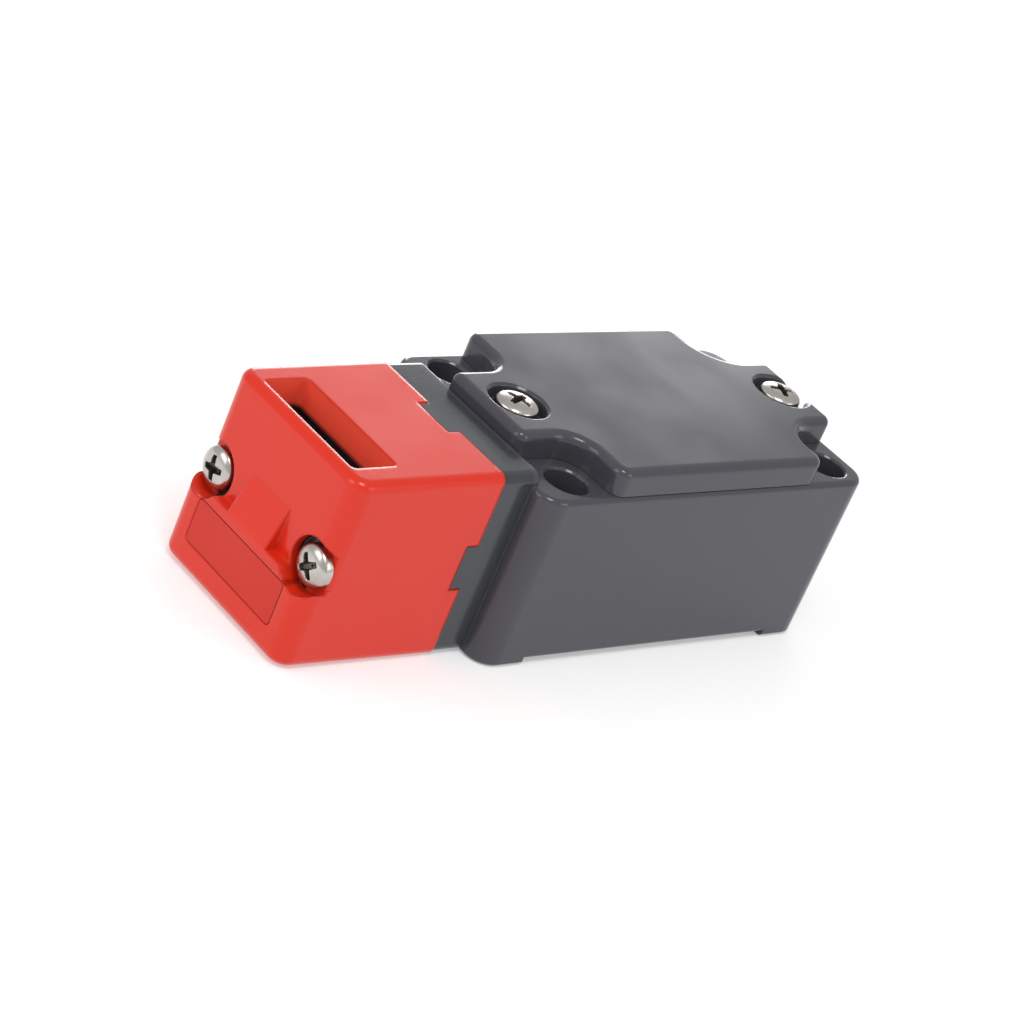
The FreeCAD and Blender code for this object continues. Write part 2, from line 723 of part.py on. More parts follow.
def cut_end_face(body, face, z_span):
    """Cut the head's end back to a face between two heights, with round upright corners."""
    low, high = z_span
    radius, spare = S.head_front_radius, as_size(1)
    start = face + radius
    half = half_head_front + (start - head_front) * draft_rate + S.corner_overlap
    outside = half + spare
    sketch = new_sketch(body, "XY_Plane", high)
    first = sketch.GeometryCount
    corners = [
        (start, half),
        (start, outside),
        (head_front - spare, outside),
        (head_front - spare, -outside),
        (start, -outside),
        (start, -half),
        (face, radius - half),
        (face, half - radius),
    ]
    centres = {5: (start, radius - half, math.pi), 7: (start, half - radius, math.pi / 2)}
    places = [Vector(float(across), float(up), 0) for across, up in corners]
    for index, place in enumerate(places):
        if index in centres:
            across, up, begin = centres[index]
            ring = Part.Circle(Vector(float(across), float(up), 0), Vector(0, 0, 1), float(radius))
            sketch.addGeometry(Part.ArcOfCircle(ring, begin, begin + math.pi / 2), False)
        else:
            sketch.addGeometry(Part.LineSegment(place, places[(index + 1) % len(places)]), False)
    ends = {index: (2, 1) if index in centres else (1, 2) for index in range(len(places))}
    for index in range(len(places)):
        following = (index + 1) % len(places)
        joined = (first + index, ends[index][1], first + following, ends[following][0])
        sketch.addConstraint(Sketcher.Constraint("Coincident", *joined))
    for index, (across, up) in enumerate(corners):
        tie_point(sketch, first + index, ends[index][0], across, up)
    for index in centres:
        held = sketch.addConstraint(Sketcher.Constraint("Radius", first + index, float(radius)))
        bind(sketch, f"Constraints[{held}]", radius)
    extrude(body, sketch, "Pocket", high - low)


def make_head_housing():
    """Die-cast head: two key slots, room for the cam carrier, pockets for its screws."""
    body = new_body("head_housing")
    section = new_sketch(body, "YZ_Plane", head_front)
    low, high = S.axis_height - half_head_front, S.axis_height + half_head_front
    rectangle(section, -half_head_front, half_head_front, low, high)
    block = extrude(body, section, "Pad", S.head_length)
    bind(block, "TaperAngle", S.head_draft)
    doc.recompute()
    spare = as_size(1)
    cut_end_face(body, upper_face, (S.face_step_height, high + spare))
    cut_end_face(body, head_front, (low - spare, S.face_step_height))
    rim_slack = float(S.head_length * draft_rate) + 0.02
    round_edges(
        body,
        lambda edge: near(abs(edge.CenterOfMass.z - float(S.axis_height)), half_head_front, rim_slack)
        and not near(edge.BoundBox.XMin, neck_front),
        S.head_radius,
    )
    ramp = new_sketch(body, "XZ_Plane", S.ramp_width / 2)
    polygon(
        ramp,
        [
            (head_front, S.face_step_height),
            (upper_face, S.face_step_height),
            (upper_face, S.face_step_height + S.ramp_rise),
        ],
    )
    extrude(body, ramp, "Pad", S.ramp_width)

    mouth = (mouth_front, mouth_front + S.mouth_length)
    half_mouth = S.mouth_width / 2
    mouth_z = (head_top - S.mouth_depth, head_top + spare)
    cut_box(body, mouth, (-half_mouth, half_mouth), mouth_z, S.mouth_corner_radius)
    half_slot = S.slot_width / 2
    slot = (slot_front, slot_front + S.slot_thickness)
    cut_box(body, slot, (-half_slot, half_slot), (S.slot_bottom, head_top - S.mouth_depth))
    reach = S.plug_clearance
    recess = new_sketch(body, "YZ_Plane", head_front + S.plug_depth)
    plug_outline(recess, reach)
    extrude(body, recess, "Pocket", S.plug_depth + spare)
    end_slot_z = (S.plug_centre - S.slot_thickness / 2, S.plug_centre + S.slot_thickness / 2)
    cut_box(body, (head_front + S.plug_depth, cam_x), (-half_slot, half_slot), end_slot_z)

    half_wide, half_tall = S.head_cavity_width / 2, S.head_cavity_height / 2
    cut_box(
        body,
        (head_cavity_front, neck_front),
        (-half_wide, half_wide),
        (S.axis_height - half_tall, S.axis_height + half_tall),
    )
    screws = [(-S.head_screw_offset, S.axis_height), (S.head_screw_offset, S.axis_height)]
    cut_round_x(body, (head_front, neck_front), screws, S.head_screw_hole)
    pocket_floor = upper_face + S.head_screw_pocket_depth
    cut_round_x(body, (head_front - spare, pocket_floor), screws, S.head_screw_pocket)
    for y_span, z_span in key_spans(half_neck + spare, reach):
        cut_box(body, (neck_front - S.key_length - reach, neck_front), y_span, z_span)
    return body


def plug_outline(sketch, clearance):
    """The plug's rounded outline, wider by a clearance all round."""
    half_plug, half_tall = S.plug_width / 2 + clearance, S.plug_height / 2 + clearance
    low, high = S.plug_centre - half_tall, S.plug_centre + half_tall
    rounded_rectangle(sketch, -half_plug, half_plug, low, high, S.plug_corner_radius + clearance)


def make_slot_plug():
    """Blanking plug that closes the unused key slot in the head's end face."""
    body = new_body("slot_plug")
    sketch = new_sketch(body, "YZ_Plane", head_front)
    plug_outline(sketch, ZERO)
    extrude(body, sketch, "Pad", S.plug_depth)
    half_slot = S.slot_width / 2 - S.plug_clearance
    half_thick = S.slot_thickness / 2 - S.plug_clearance
    stem = (head_front + S.plug_depth, slot_front - S.plug_clearance)
    pad_box(body, stem, (-half_slot, half_slot), (S.plug_centre - half_thick, S.plug_centre + half_thick))
    return body


# ---------------------------------------------------------------------------------------------
# Key mechanism
# ---------------------------------------------------------------------------------------------


def make_cam_carrier():
    """U-shaped carrier that holds the cam axle and slides into the head from the back."""
    body = new_body("cam_carrier")
    gap = S.plug_clearance
    outer = S.head_cavity_width / 2 - gap
    inner = outer - S.cheek_thickness
    low = S.plug_centre + S.slot_thickness / 2 + S.key_clearance
    high = S.axis_height + S.head_cavity_height / 2 - gap
    plate = neck_front - S.carrier_plate
    front = slot_front + S.slot_thickness + S.key_clearance
    pad_box(body, (plate, neck_front), (-outer, outer), (low, high))
    for y_span in ((-outer, -inner), (inner, outer)):
        pad_box(body, (front, plate), y_span, (low, high))
    cut_round_x(body, (plate, neck_front), [(ZERO, S.axis_height)], S.plunger_radius + S.running_clearance)
    hole = new_sketch(body, "XZ_Plane", -outer)
    circle(hole, cam_x, S.axis_height, S.axle_radius + S.running_clearance)
    extrude(body, hole, "Pocket", outer * 2)
    return body


def make_cam_axle():
    """Steel pin through the carrier and the cam."""
    body = new_body("cam_axle")
    reach = S.head_cavity_width / 2 - S.plug_clearance
    sketch = new_sketch(body, "XZ_Plane", reach)
    circle(sketch, cam_x, S.axis_height, S.axle_radius)
    extrude(body, sketch, "Pad", reach * 2)
    return body


def polar(radius, degrees):
    """A point in the cam's plane, measured from +X towards +Z."""
    angle = math.radians(degrees)
    return Vector(radius * math.cos(angle), 0, radius * math.sin(angle))


def fall_points(count):
    """Cam points that keep a round nose at an even gap while it drops at an even rate."""
    turn_degrees = float(S.cam_turn)
    offset = float(S.nose_radius + S.nose_gap)
    high = float(S.cam_radius) + offset
    rate = float(S.plunger_travel) / math.radians(turn_degrees)
    points = []
    for step in range(count):
        degrees = -turn_degrees * step / (count - 1)
        radius = high + rate * math.radians(degrees)
        outward, ahead = polar(1, degrees), polar(1, degrees + 90)
        normal = outward * radius - ahead * rate
        points.append(outward * radius - normal.normalize() * offset)
    return points


def make_key_cam():
    """Drum with two notches for the key's bar and a falling track for the plunger."""
    high, low = float(S.cam_radius), float(cam_low_radius)
    fall = fall_points(13)
    start_angle = math.degrees(math.atan2(fall[0].z, fall[0].x))
    end_angle = math.degrees(math.atan2(fall[-1].z, fall[-1].x))
    track = Part.BSplineCurve()
    track.interpolate(fall)
    dwell_end = end_angle - float(S.cam_dwell)
    rise_end = dwell_end - float(S.cam_rise)
    relief = Part.LineSegment(fall[-1], polar(low, end_angle))
    dwell = Part.Arc(polar(low, end_angle), polar(low, (end_angle + dwell_end) / 2), polar(low, dwell_end))
    rise = Part.LineSegment(polar(low, dwell_end), polar(high, rise_end))
    top_radius = fall[0].Length
    middle = (rise_end + start_angle - 360) / 2
    drum = Part.Arc(polar(high, rise_end), polar(high, middle), polar(high, start_angle - 360))
    edges = [curve.toShape() for curve in (track, relief, dwell, rise, drum)]
    if abs(top_radius - high) > 1e-6:
        edges.append(Part.LineSegment(polar(high, start_angle), fall[0]).toShape())
    profile = Part.Face(Part.Wire(Part.__sortEdges__(edges)))
    width = float(half_cam * 2)
    cam = profile.extrude(Vector(0, width, 0))
    cam.translate(Vector(0, -width / 2, 0))
    notch_width, notch_depth = float(S.cam_notch_width), float(S.cam_notch_depth)
    for degrees in (float(S.cam_upper_notch), float(S.cam_end_notch)):
        notch = Part.makeBox(notch_depth + 1, width + 2, notch_width)
        notch.translate(Vector(high - notch_depth, -width / 2 - 1, -notch_width / 2))
        notch.rotate(Vector(), Vector(0, -1, 0), degrees)
        cam = cam.cut(notch)
    bore_radius = float(S.axle_radius + S.running_clearance)
    cam = cam.cut(Part.makeCylinder(bore_radius, width + 2, Vector(0, -width / 2 - 1, 0), Vector(0, 1, 0)))
    if low <= bore_radius:
        raise RuntimeError("key_cam: the low dwell runs into the bore")
    place = Vector(float(cam_x), 0, float(S.axis_height))
    return solid_feature("key_cam", cam, Placement(place, Rotation()))


def make_plunger():
    """Round plunger from the cam to the contact carrier, with a rounded blade for a nose."""
    body = new_body("plunger")
    rod_front = plunger_tip + S.plunger_travel + S.key_clearance
    sketch = new_sketch(body, "YZ_Plane", rod_front)
    circle(sketch, ZERO, S.axis_height, S.plunger_radius)
    extrude(body, sketch, "Pad", carrier_front - rod_front)
    half_nose = S.nose_width / 2
    nose_centre = plunger_tip + S.nose_radius
    blade_z = (S.axis_height - S.nose_radius, S.axis_height + S.nose_radius)
    pad_box(body, (nose_centre, rod_front), (-half_nose, half_nose), blade_z)
    sketch = new_sketch(body, "XZ_Plane", half_nose)
    circle(sketch, nose_centre, S.axis_height, S.nose_radius)
    extrude(body, sketch, "Pad", S.nose_width)
    return body


def make_plunger_seal():
    """Rubber ring round the plunger, let into the face of the neck."""
    body = new_body("plunger_seal")
    sketch = new_sketch(body, "YZ_Plane", neck_front)
    circle(sketch, ZERO, S.axis_height, S.seal_radius)
    circle(sketch, ZERO, S.axis_height, S.plunger_radius + S.running_clearance)
    extrude(body, sketch, "Pad", S.seal_thickness)
    return body


def make_head_screws():
    """Two pan-head screws that hold the head on the neck."""
    body = new_body("head_screws")
    seat = upper_face + S.head_screw_pocket_depth
    length = neck_front + S.head_screw_grip - seat - S.screw_tip_gap
    head = S.head_screw_head_height
    for side in (-S.head_screw_offset, S.head_screw_offset):
        sketch = new_sketch(body, "XZ_Plane", side, across=seat, up=S.axis_height)
        corners = [
            (length, ZERO),
            (length, S.head_screw_radius),
            (ZERO, S.head_screw_radius),
            (ZERO, S.head_screw_head),
            (-head, S.head_screw_head),
            (-head, ZERO),
        ]
        polygon(sketch, corners)
        turn(body, sketch, "H_Axis")
    arm, blade, depth = S.head_screw_head * 0.58, S.head_screw_head * 0.13, S.head_screw_head * 0.35
    for long_y in (True, False):
        half_y, half_z = (arm, blade) if long_y else (blade, arm)
        sketch = new_sketch(body, "YZ_Plane", seat - head + depth)
        for side in (-S.head_screw_offset, S.head_screw_offset):
            rectangle(
                sketch, side - half_y, side + half_y, S.axis_height - half_z, S.axis_height + half_z
            )
        extrude(body, sketch, "Pocket", depth)
    return body


# ---------------------------------------------------------------------------------------------
# Contact block
# ---------------------------------------------------------------------------------------------


def make_contact_block_base():
    """Moulded base with the carrier's channel and a chamber for each moving contact."""
    body = new_body("contact_block_base")
    block_z = (S.cavity_floor, block_top)
    pad_box(body, (block_front, block_end), (-half_block, half_block), block_z, S.cavity_corner_radius)
    channel_floor = S.axis_height - half_carrier - S.channel_clearance
    cut_box(body, (block_front, spring_seat), (-half_channel, half_channel), (channel_floor, block_top))
    for x_span in ((nc_strip_front, nc_chamber_end), (aux_chamber_front, aux_strip_end)):
        cut_box(body, x_span, (-half_chamber, half_chamber), (chamber_bottom, block_top))
    hole = S.terminal_screw_radius + S.fit_clearance
    cut_round_z(body, (block_top - S.terminal_screw_length, block_top), terminal_screw_places, hole)
    block_holes = [(block_screw_x, -terminal_side), (block_screw_x, terminal_side)]
    cut_round_z(body, (S.cavity_floor, block_top), block_holes, S.block_screw_radius + S.fit_clearance)
    cap_holes = [(divider_x, -S.cap_screw_offset), (divider_x, S.cap_screw_offset)]
    cap_thread = (block_top - S.cap_screw_grip - S.screw_tip_gap, block_top)
    cut_round_z(body, cap_thread, cap_holes, S.cap_screw_radius + S.fit_clearance)
    return body


def make_contact_block_cap():
    """Cap that closes the carrier's channel."""
    body = new_body("contact_block_cap")
    half_cap = S.cap_width / 2
    pad_box(body, (block_front, block_end), (-half_cap, half_cap), (block_top, block_top + S.cap_thickness))
    cap_holes = [(divider_x, -S.cap_screw_offset), (divider_x, S.cap_screw_offset)]
    cut_round_z(
        body, (block_top, block_top + S.cap_thickness), cap_holes, S.cap_screw_radius + S.fit_clearance
    )
    return body


def make_contact_carrier():
    """Moulded carrier with a window for each moving contact and its spring."""
    body = new_body("contact_carrier")
    z_span = (S.axis_height - half_carrier, S.axis_height + half_carrier)
    pad_box(body, (carrier_front, carrier_end), (-half_carrier, half_carrier), z_span)
    half_window = S.bridge_height / 2 + S.channel_clearance
    window_z = (S.axis_height - half_window, S.axis_height + half_window)
    for x_span in ((nc_bridge_front, nc_window_end), (aux_window_front, aux_window_end)):
        cut_box(body, x_span, (-half_carrier, half_carrier), window_z)
    return body


def make_bridge(label, front, button_front):
    """Moving contact bridge with two contact buttons on one face."""
    body = new_body(label)
    half_wide, half_tall = S.bridge_width / 2, S.bridge_height / 2
    z_span = (S.axis_height - half_tall, S.axis_height + half_tall)
    pad_box(body, (front, front + S.bridge_thickness), (-half_wide, half_wide), z_span)
    sketch = new_sketch(body, "YZ_Plane", button_front)
    for side in (-S.button_offset, S.button_offset):
        circle(sketch, side, S.axis_height, S.button_radius)
    extrude(body, sketch, "Pad", S.button_height)
    return body


def make_terminal_strips(label, upright_front, button_front, foot_span):
    """A pair of bent strips, each with a fixed contact below and a screw terminal above."""
    body = new_body(label)
    strip_low = S.axis_height - S.bridge_height / 2
    foot_top = block_top + S.strip_thickness
    for sign in (-1, 1):
        inner, outer = strip_inner * sign, (half_chamber - S.strip_side_gap) * sign
        y_span = (inner, outer) if sign > 0 else (outer, inner)
        pad_box(body, (upright_front, upright_front + S.strip_thickness), y_span, (strip_low, foot_top))
        foot_outer = (half_block - S.strip_edge_margin) * sign
        y_span = (inner, foot_outer) if sign > 0 else (foot_outer, inner)
        pad_box(body, foot_span, y_span, (block_top, foot_top))
    sketch = new_sketch(body, "YZ_Plane", button_front)
    for side in (-S.button_offset, S.button_offset):
        circle(sketch, side, S.axis_height, S.button_radius)
    extrude(body, sketch, "Pad", S.button_height)
    centre = (foot_span[0] + foot_span[1]) / 2
    holes = [(centre, -terminal_side), (centre, terminal_side)]
    cut_round_z(body, (block_top, foot_top), holes, S.terminal_screw_radius + S.fit_clearance)
    return body


def make_terminal_clamps():
    """Square plates that the terminal screws press on the wires."""
    body = new_body("terminal_clamps")
    half = S.clamp_size / 2
    low = block_top + S.strip_thickness
    for across, side in terminal_screw_places:
        length = (across - half, across + half)
        pad_box(body, length, (side - half, side + half), (low, low + S.clamp_thickness))
    hole = S.terminal_screw_radius + S.fit_clearance
    cut_round_z(body, (low, low + S.clamp_thickness), terminal_screw_places, hole)
    return body


def coil(length, radius, wire, turns):
    """A helical spring from the origin along +Z, its wire six-sided and inside its length."""
    length, radius, wire = float(length), float(radius), float(wire)
    rise = length - 2 * wire
    helix = Part.makeHelix(rise / turns, rise, radius)
    corners = [math.pi / 3 * number for number in range(7)]
    places = [Vector(radius + wire * math.cos(angle), 0, wire * math.sin(angle)) for angle in corners]
    spring = Part.Wire(helix).makePipeShell([Part.makePolygon(places)], True, True)
    spring.translate(Vector(0, 0, wire))
    return spring


def along_axis(start):
    """Placement that turns +Z to +X and starts at a place on the head's axis."""
    return Placement(Vector(float(start), 0, float(S.axis_height)), Rotation(Vector(0, 1, 0), 90))


def make_contact_springs():
    """The springs that press the two moving contacts, each in its window of the carrier."""
    slack = S.channel_clearance + S.fit_clearance
    coils = []
    for start, length in (
        (nc_bridge_front + S.bridge_thickness, S.nc_spring_length),
        (aux_window_front, S.aux_spring_length),
    ):
        spring = coil(length - slack * 2, S.contact_spring_radius, S.contact_spring_wire, 3)
        spring.Placement = along_axis(start + slack)
        coils.append(spring)
    return solid_feature("contact_springs", Part.makeCompound(coils), Placement())


def make_return_spring():
    """The spring that pushes the carrier and the plunger back to the cam."""
    slack = S.channel_clearance
    length = S.return_spring_length - slack * 2
    spring = coil(length, S.return_spring_radius, S.return_spring_wire, 4)
    return solid_feature("return_spring", Part.makeCompound([spring]), along_axis(carrier_end + slack))


make_body_housing()
make_cover()
make_cover_gasket()
make_head_housing()
make_slot_plug()
make_cam_carrier()
make_cam_axle()
make_key_cam()
make_plunger()
make_plunger_seal()
make_head_screws()
upright_screws(
    "cover_screws",
    [(place, ZERO) for place in cover_screw_places],
    recess_floor,
    S.cover_screw_head,
    S.cover_screw_head_height,
    S.cover_screw_radius,
    recess_floor - S.body_height + S.cover_screw_grip,
)
make_contact_block_base()
make_contact_block_cap()
make_contact_carrier()
make_bridge("nc_bridge", nc_bridge_front, nc_bridge_front - S.button_height)
make_bridge("aux_bridge", aux_bridge_front, aux_window_end)
make_terminal_strips(
    "nc_terminal_strips", nc_strip_front, nc_strip_face, (nc_strip_front, nc_strip_front + S.strip_foot)
)
make_terminal_strips(
    "aux_terminal_strips",
    aux_strip_face,
    aux_strip_face - S.button_height,
    (aux_strip_end - S.strip_foot, aux_strip_end),
)
make_terminal_clamps()
upright_screws(
    "terminal_screws",
    terminal_screw_places,
    block_top + S.strip_thickness + S.clamp_thickness,
    S.terminal_head_radius,
    S.terminal_head_height,
    S.terminal_screw_radius,
    S.terminal_screw_length,
)
upright_screws(
    "block_screws",
    [(block_screw_x, -terminal_side), (block_screw_x, terminal_side)],
    block_top,
    S.terminal_head_radius,
    S.terminal_head_height,
    S.block_screw_radius,
    S.block_height + S.block_screw_grip,
)
upright_screws(
    "cap_screws",
    [(divider_x, -S.cap_screw_offset), (divider_x, S.cap_screw_offset)],
    block_top + S.cap_thickness,
    S.cap_screw_head,
    S.cap_screw_radius,
    S.cap_screw_radius,
    S.cap_thickness + S.cap_screw_grip,
)
make_contact_springs()
make_return_spring()

# ---------------------------------------------------------------------------------------------
# Checks and export
# ---------------------------------------------------------------------------------------------

doc.recompute()
for item in doc.Objects:
    if "Invalid" in item.State or "Error" in item.State:
        raise RuntimeError(f"{item.Label} failed: {item.State}")
os.makedirs("parts", exist_ok=True)
for piece in pieces:
    if piece.Shape.isNull() or not piece.Shape.isValid():
        raise RuntimeError(f"{piece.Label} has no valid shape")
    piece.Shape.exportStep(f"parts/{piece.Label}.step")
    print(f"{piece.Label}: {len(piece.Shape.Solids)} solid(s), {piece.Shape.Volume:.1f} mm3")
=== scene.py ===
"""Looks of a tongue interlock switch: paint, mouldings, screws, thread, floor, light and camera."""

import json
import logging
import math
from dataclasses import dataclass
from enum import Enum
from typing import Callable

import bmesh
import bpy
from mathutils import Matrix, Vector


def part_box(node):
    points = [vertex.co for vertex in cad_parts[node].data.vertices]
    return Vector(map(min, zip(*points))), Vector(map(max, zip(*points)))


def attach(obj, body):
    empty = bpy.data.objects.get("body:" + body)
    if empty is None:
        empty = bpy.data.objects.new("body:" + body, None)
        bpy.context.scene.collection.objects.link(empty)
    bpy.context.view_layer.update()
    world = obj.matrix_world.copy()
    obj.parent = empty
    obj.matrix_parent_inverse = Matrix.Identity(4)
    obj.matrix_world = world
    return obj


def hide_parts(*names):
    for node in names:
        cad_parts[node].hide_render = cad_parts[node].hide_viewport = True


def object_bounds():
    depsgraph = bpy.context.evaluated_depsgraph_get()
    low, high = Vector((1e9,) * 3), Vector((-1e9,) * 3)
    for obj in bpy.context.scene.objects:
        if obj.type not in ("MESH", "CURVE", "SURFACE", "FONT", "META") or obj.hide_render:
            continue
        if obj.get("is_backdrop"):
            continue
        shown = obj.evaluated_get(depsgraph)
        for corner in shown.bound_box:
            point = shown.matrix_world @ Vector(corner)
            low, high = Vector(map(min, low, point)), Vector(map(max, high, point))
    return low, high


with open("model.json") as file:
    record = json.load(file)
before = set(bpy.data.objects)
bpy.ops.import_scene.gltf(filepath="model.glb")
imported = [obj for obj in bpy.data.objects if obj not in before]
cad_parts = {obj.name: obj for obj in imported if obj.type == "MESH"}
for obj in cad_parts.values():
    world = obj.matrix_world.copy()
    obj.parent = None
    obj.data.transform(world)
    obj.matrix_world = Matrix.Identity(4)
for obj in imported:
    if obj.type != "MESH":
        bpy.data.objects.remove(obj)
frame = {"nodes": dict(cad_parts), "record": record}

LOG = logging.getLogger("interlock_switch")
MILLIMETRE = 0.001
ROOT_BODY = "switch_body"

Colour = tuple[float, float, float]
Point = tuple[float, float, float]

WHITE: Colour = (1.0, 1.0, 1.0)
DUST_COLOUR: Colour = (0.55, 0.54, 0.52)
DUST_DULLING = 0.3
TARNISH_SCALE = 500.0
TARNISH_DULLING = 1.6
SMOOTH_ANGLE = math.radians(35)


def opaque(colour: Colour) -> tuple[float, float, float, float]:
    """The colour with full alpha, as a colour socket takes it."""
    return (*colour, 1.0)


# ---------------------------------------------------------------------------------------------
# Shader trees
# ---------------------------------------------------------------------------------------------


class Shade:
    """Adds and joins the nodes of one shader tree.

    Args:
        tree: the node tree of a material, a world or a group.
    """

    def __init__(self, tree: bpy.types.NodeTree) -> None:
        self.tree = tree

    def node(self, kind: str, inputs: dict | None = None, **settings: object) -> bpy.types.Node:
        """Adds a node.

        Args:
            kind: its type without the ShaderNode in front.
            inputs: socket name or number to a value, or to another node's output.
            settings: the node's own properties.

        Returns:
            The new node.
        """
        made = self.tree.nodes.new("ShaderNode" + kind)
        for name, value in settings.items():
            setattr(made, name, value)
        for name, value in (inputs or {}).items():
            self.feed(made.inputs[name], value)
        return made

    def feed(self, socket: bpy.types.NodeSocket, value: object) -> None:
        """Links an output to a socket, or sets the socket's constant."""
        if isinstance(value, bpy.types.NodeSocket):
            self.tree.links.new(value, socket)
        else:
            socket.default_value = value

    def group(self, tree: bpy.types.NodeTree, **inputs: object) -> bpy.types.Node:
        """Places a shared group.

        Args:
            tree: the group.
            inputs: the group's inputs, with _ in place of a space.

        Returns:
            The group node.
        """
        placed = self.node("Group", node_tree=tree)
        for name, value in inputs.items():
            self.feed(placed.inputs[name.replace("_", " ")], value)
        return placed

    def maths(self, operation: str, first: object, second: object = 0.0) -> bpy.types.NodeSocket:
        """The result of a sum on two values."""
        return self.node("Math", {0: first, 1: second}, operation=operation).outputs[0]

    def mix(self, share: object, first: object, second: object) -> bpy.types.NodeSocket:
        """A colour between two colours."""
        blend = self.node("Mix", data_type="RGBA")
        self.feed(blend.inputs[0], share)
        self.feed(blend.inputs[6], first)
        self.feed(blend.inputs[7], second)
        return blend.outputs[2]

    def spread(
        self, value: object, low: float, high: float, to_low: float = 0.0, to_high: float = 1.0
    ) -> bpy.types.NodeSocket:
        """A value moved from one range to another with soft ends, and held inside it."""
        sockets = {"Value": value, "From Min": low, "From Max": high, "To Min": to_low, "To Max": to_high}
        return self.node("MapRange", sockets, interpolation_type="SMOOTHSTEP").outputs["Result"]


def new_group(
    name: str, inputs: dict[str, float], outputs: list[str]
) -> tuple[Shade, dict, bpy.types.Node]:
    """Starts a shared group of float sockets.

    Args:
        name: the group's name.
        inputs: each input and its usual value.
        outputs: the outputs.

    Returns:
        The group's tree, its input sockets by name, and its output node.
    """
    tree = bpy.data.node_groups.new(name, "ShaderNodeTree")
    for label, usual in inputs.items():
        socket = tree.interface.new_socket(label, in_out="INPUT", socket_type="NodeSocketFloat")
        socket.default_value = usual
    for label in outputs:
        tree.interface.new_socket(label, in_out="OUTPUT", socket_type="NodeSocketFloat")
    shade = Shade(tree)
    source = tree.nodes.new("NodeGroupInput")
    target = tree.nodes.new("NodeGroupOutput")
    return shade, {label: source.outputs[label] for label in inputs}, target


class Effects:
    """The effects that several finishes share, each built once as a group."""

    def __init__(self) -> None:
        self.grain = self.build_grain()
        self.wear = self.build_wear()
        self.dust = self.build_dust()

    @staticmethod
    def build_grain() -> bpy.types.NodeTree:
        """Fine surface relief with a broad, faint mottle. Scales are in features a metre."""
        shade, given, target = new_group(
            "surface_grain",
            {"Fine Scale": 2500.0, "Broad Scale": 90.0, "Stretch": 1.0},
            ["Height", "Mottle"],
        )
        place = shade.node("TexCoord").outputs["Object"]
        along = shade.node("CombineXYZ", {0: given["Stretch"], 1: 1.0, 2: 1.0}).outputs[0]
        drawn = shade.node("VectorMath", {0: place, 1: along}, operation="MULTIPLY").outputs[0]
        fine = shade.node("TexNoise", {"Vector": drawn, "Scale": given["Fine Scale"], "Detail": 3.0})
        broad = shade.node("TexNoise", {"Vector": place, "Scale": given["Broad Scale"], "Detail": 2.0})
        shade.feed(target.inputs["Height"], fine.outputs["Fac"])
        shade.feed(target.inputs["Mottle"], shade.spread(broad.outputs["Fac"], 0.1, 0.9))
        return shade.tree

    @staticmethod
    def build_wear() -> bpy.types.NodeTree:
        """Mask of the outer edges that handling rubs, broken up by noise."""
        shade, given, target = new_group("edge_wear", {"Reach": 0.0004, "Amount": 0.5}, ["Mask"])
        bevel = shade.node("Bevel", {"Radius": given["Reach"]}, samples=4).outputs[0]
        flat = shade.node("NewGeometry").outputs["Normal"]
        facing = shade.node("VectorMath", {0: bevel, 1: flat}, operation="DOT_PRODUCT").outputs["Value"]
        edge = shade.spread(facing, 0.985, 0.8)
        place = shade.node("TexCoord").outputs["Object"]
        noise = shade.node("TexNoise", {"Vector": place, "Scale": 900.0, "Detail": 4.0}).outputs["Fac"]
        broken = shade.maths("MULTIPLY", edge, shade.spread(noise, 0.3, 0.75, 0.2, 1.0))
        shade.feed(target.inputs["Mask"], shade.maths("MULTIPLY", broken, given["Amount"]))
        return shade.tree

    @staticmethod
    def build_dust() -> bpy.types.NodeTree:
        """Mask of the faint, fine specks that settle on faces turned upwards."""
        shade, given, target = new_group("settled_dust", {"Scale": 4500.0, "Amount": 0.1}, ["Mask"])
        place = shade.node("TexCoord").outputs["Object"]
        specks = {"Vector": place, "Scale": given["Scale"], "Detail": 5.0}
        speck = shade.node("TexNoise", specks).outputs["Fac"]
        sharp = shade.spread(speck, 0.62, 0.85)
        upright = shade.node("SeparateXYZ", {0: shade.node("NewGeometry").outputs["Normal"]}).outputs["Z"]
        upward = shade.spread(upright, 0.2, 0.9)
        lying = shade.maths("MULTIPLY", sharp, upward)
        shade.feed(target.inputs["Mask"], shade.maths("MULTIPLY", lying, given["Amount"]))
        return shade.tree


EFFECTS = Effects()


# ---------------------------------------------------------------------------------------------
# Finishes
# ---------------------------------------------------------------------------------------------


class Slot(Enum):
    """Material slots of the record."""

    DARK_PLASTIC = "dark_plastic"
    RED_PAINT = "red_paint"
    RED_PLASTIC = "red_plastic"
    STAINLESS = "stainless"
    STEEL = "steel"
    BLACK_PLASTIC = "black_plastic"
    LIGHT_PLASTIC = "light_plastic"
    BRASS = "brass"
    CONTACT_METAL = "contact_metal"
    ZINC_PLATED = "zinc_plated"
    RUBBER = "rubber"


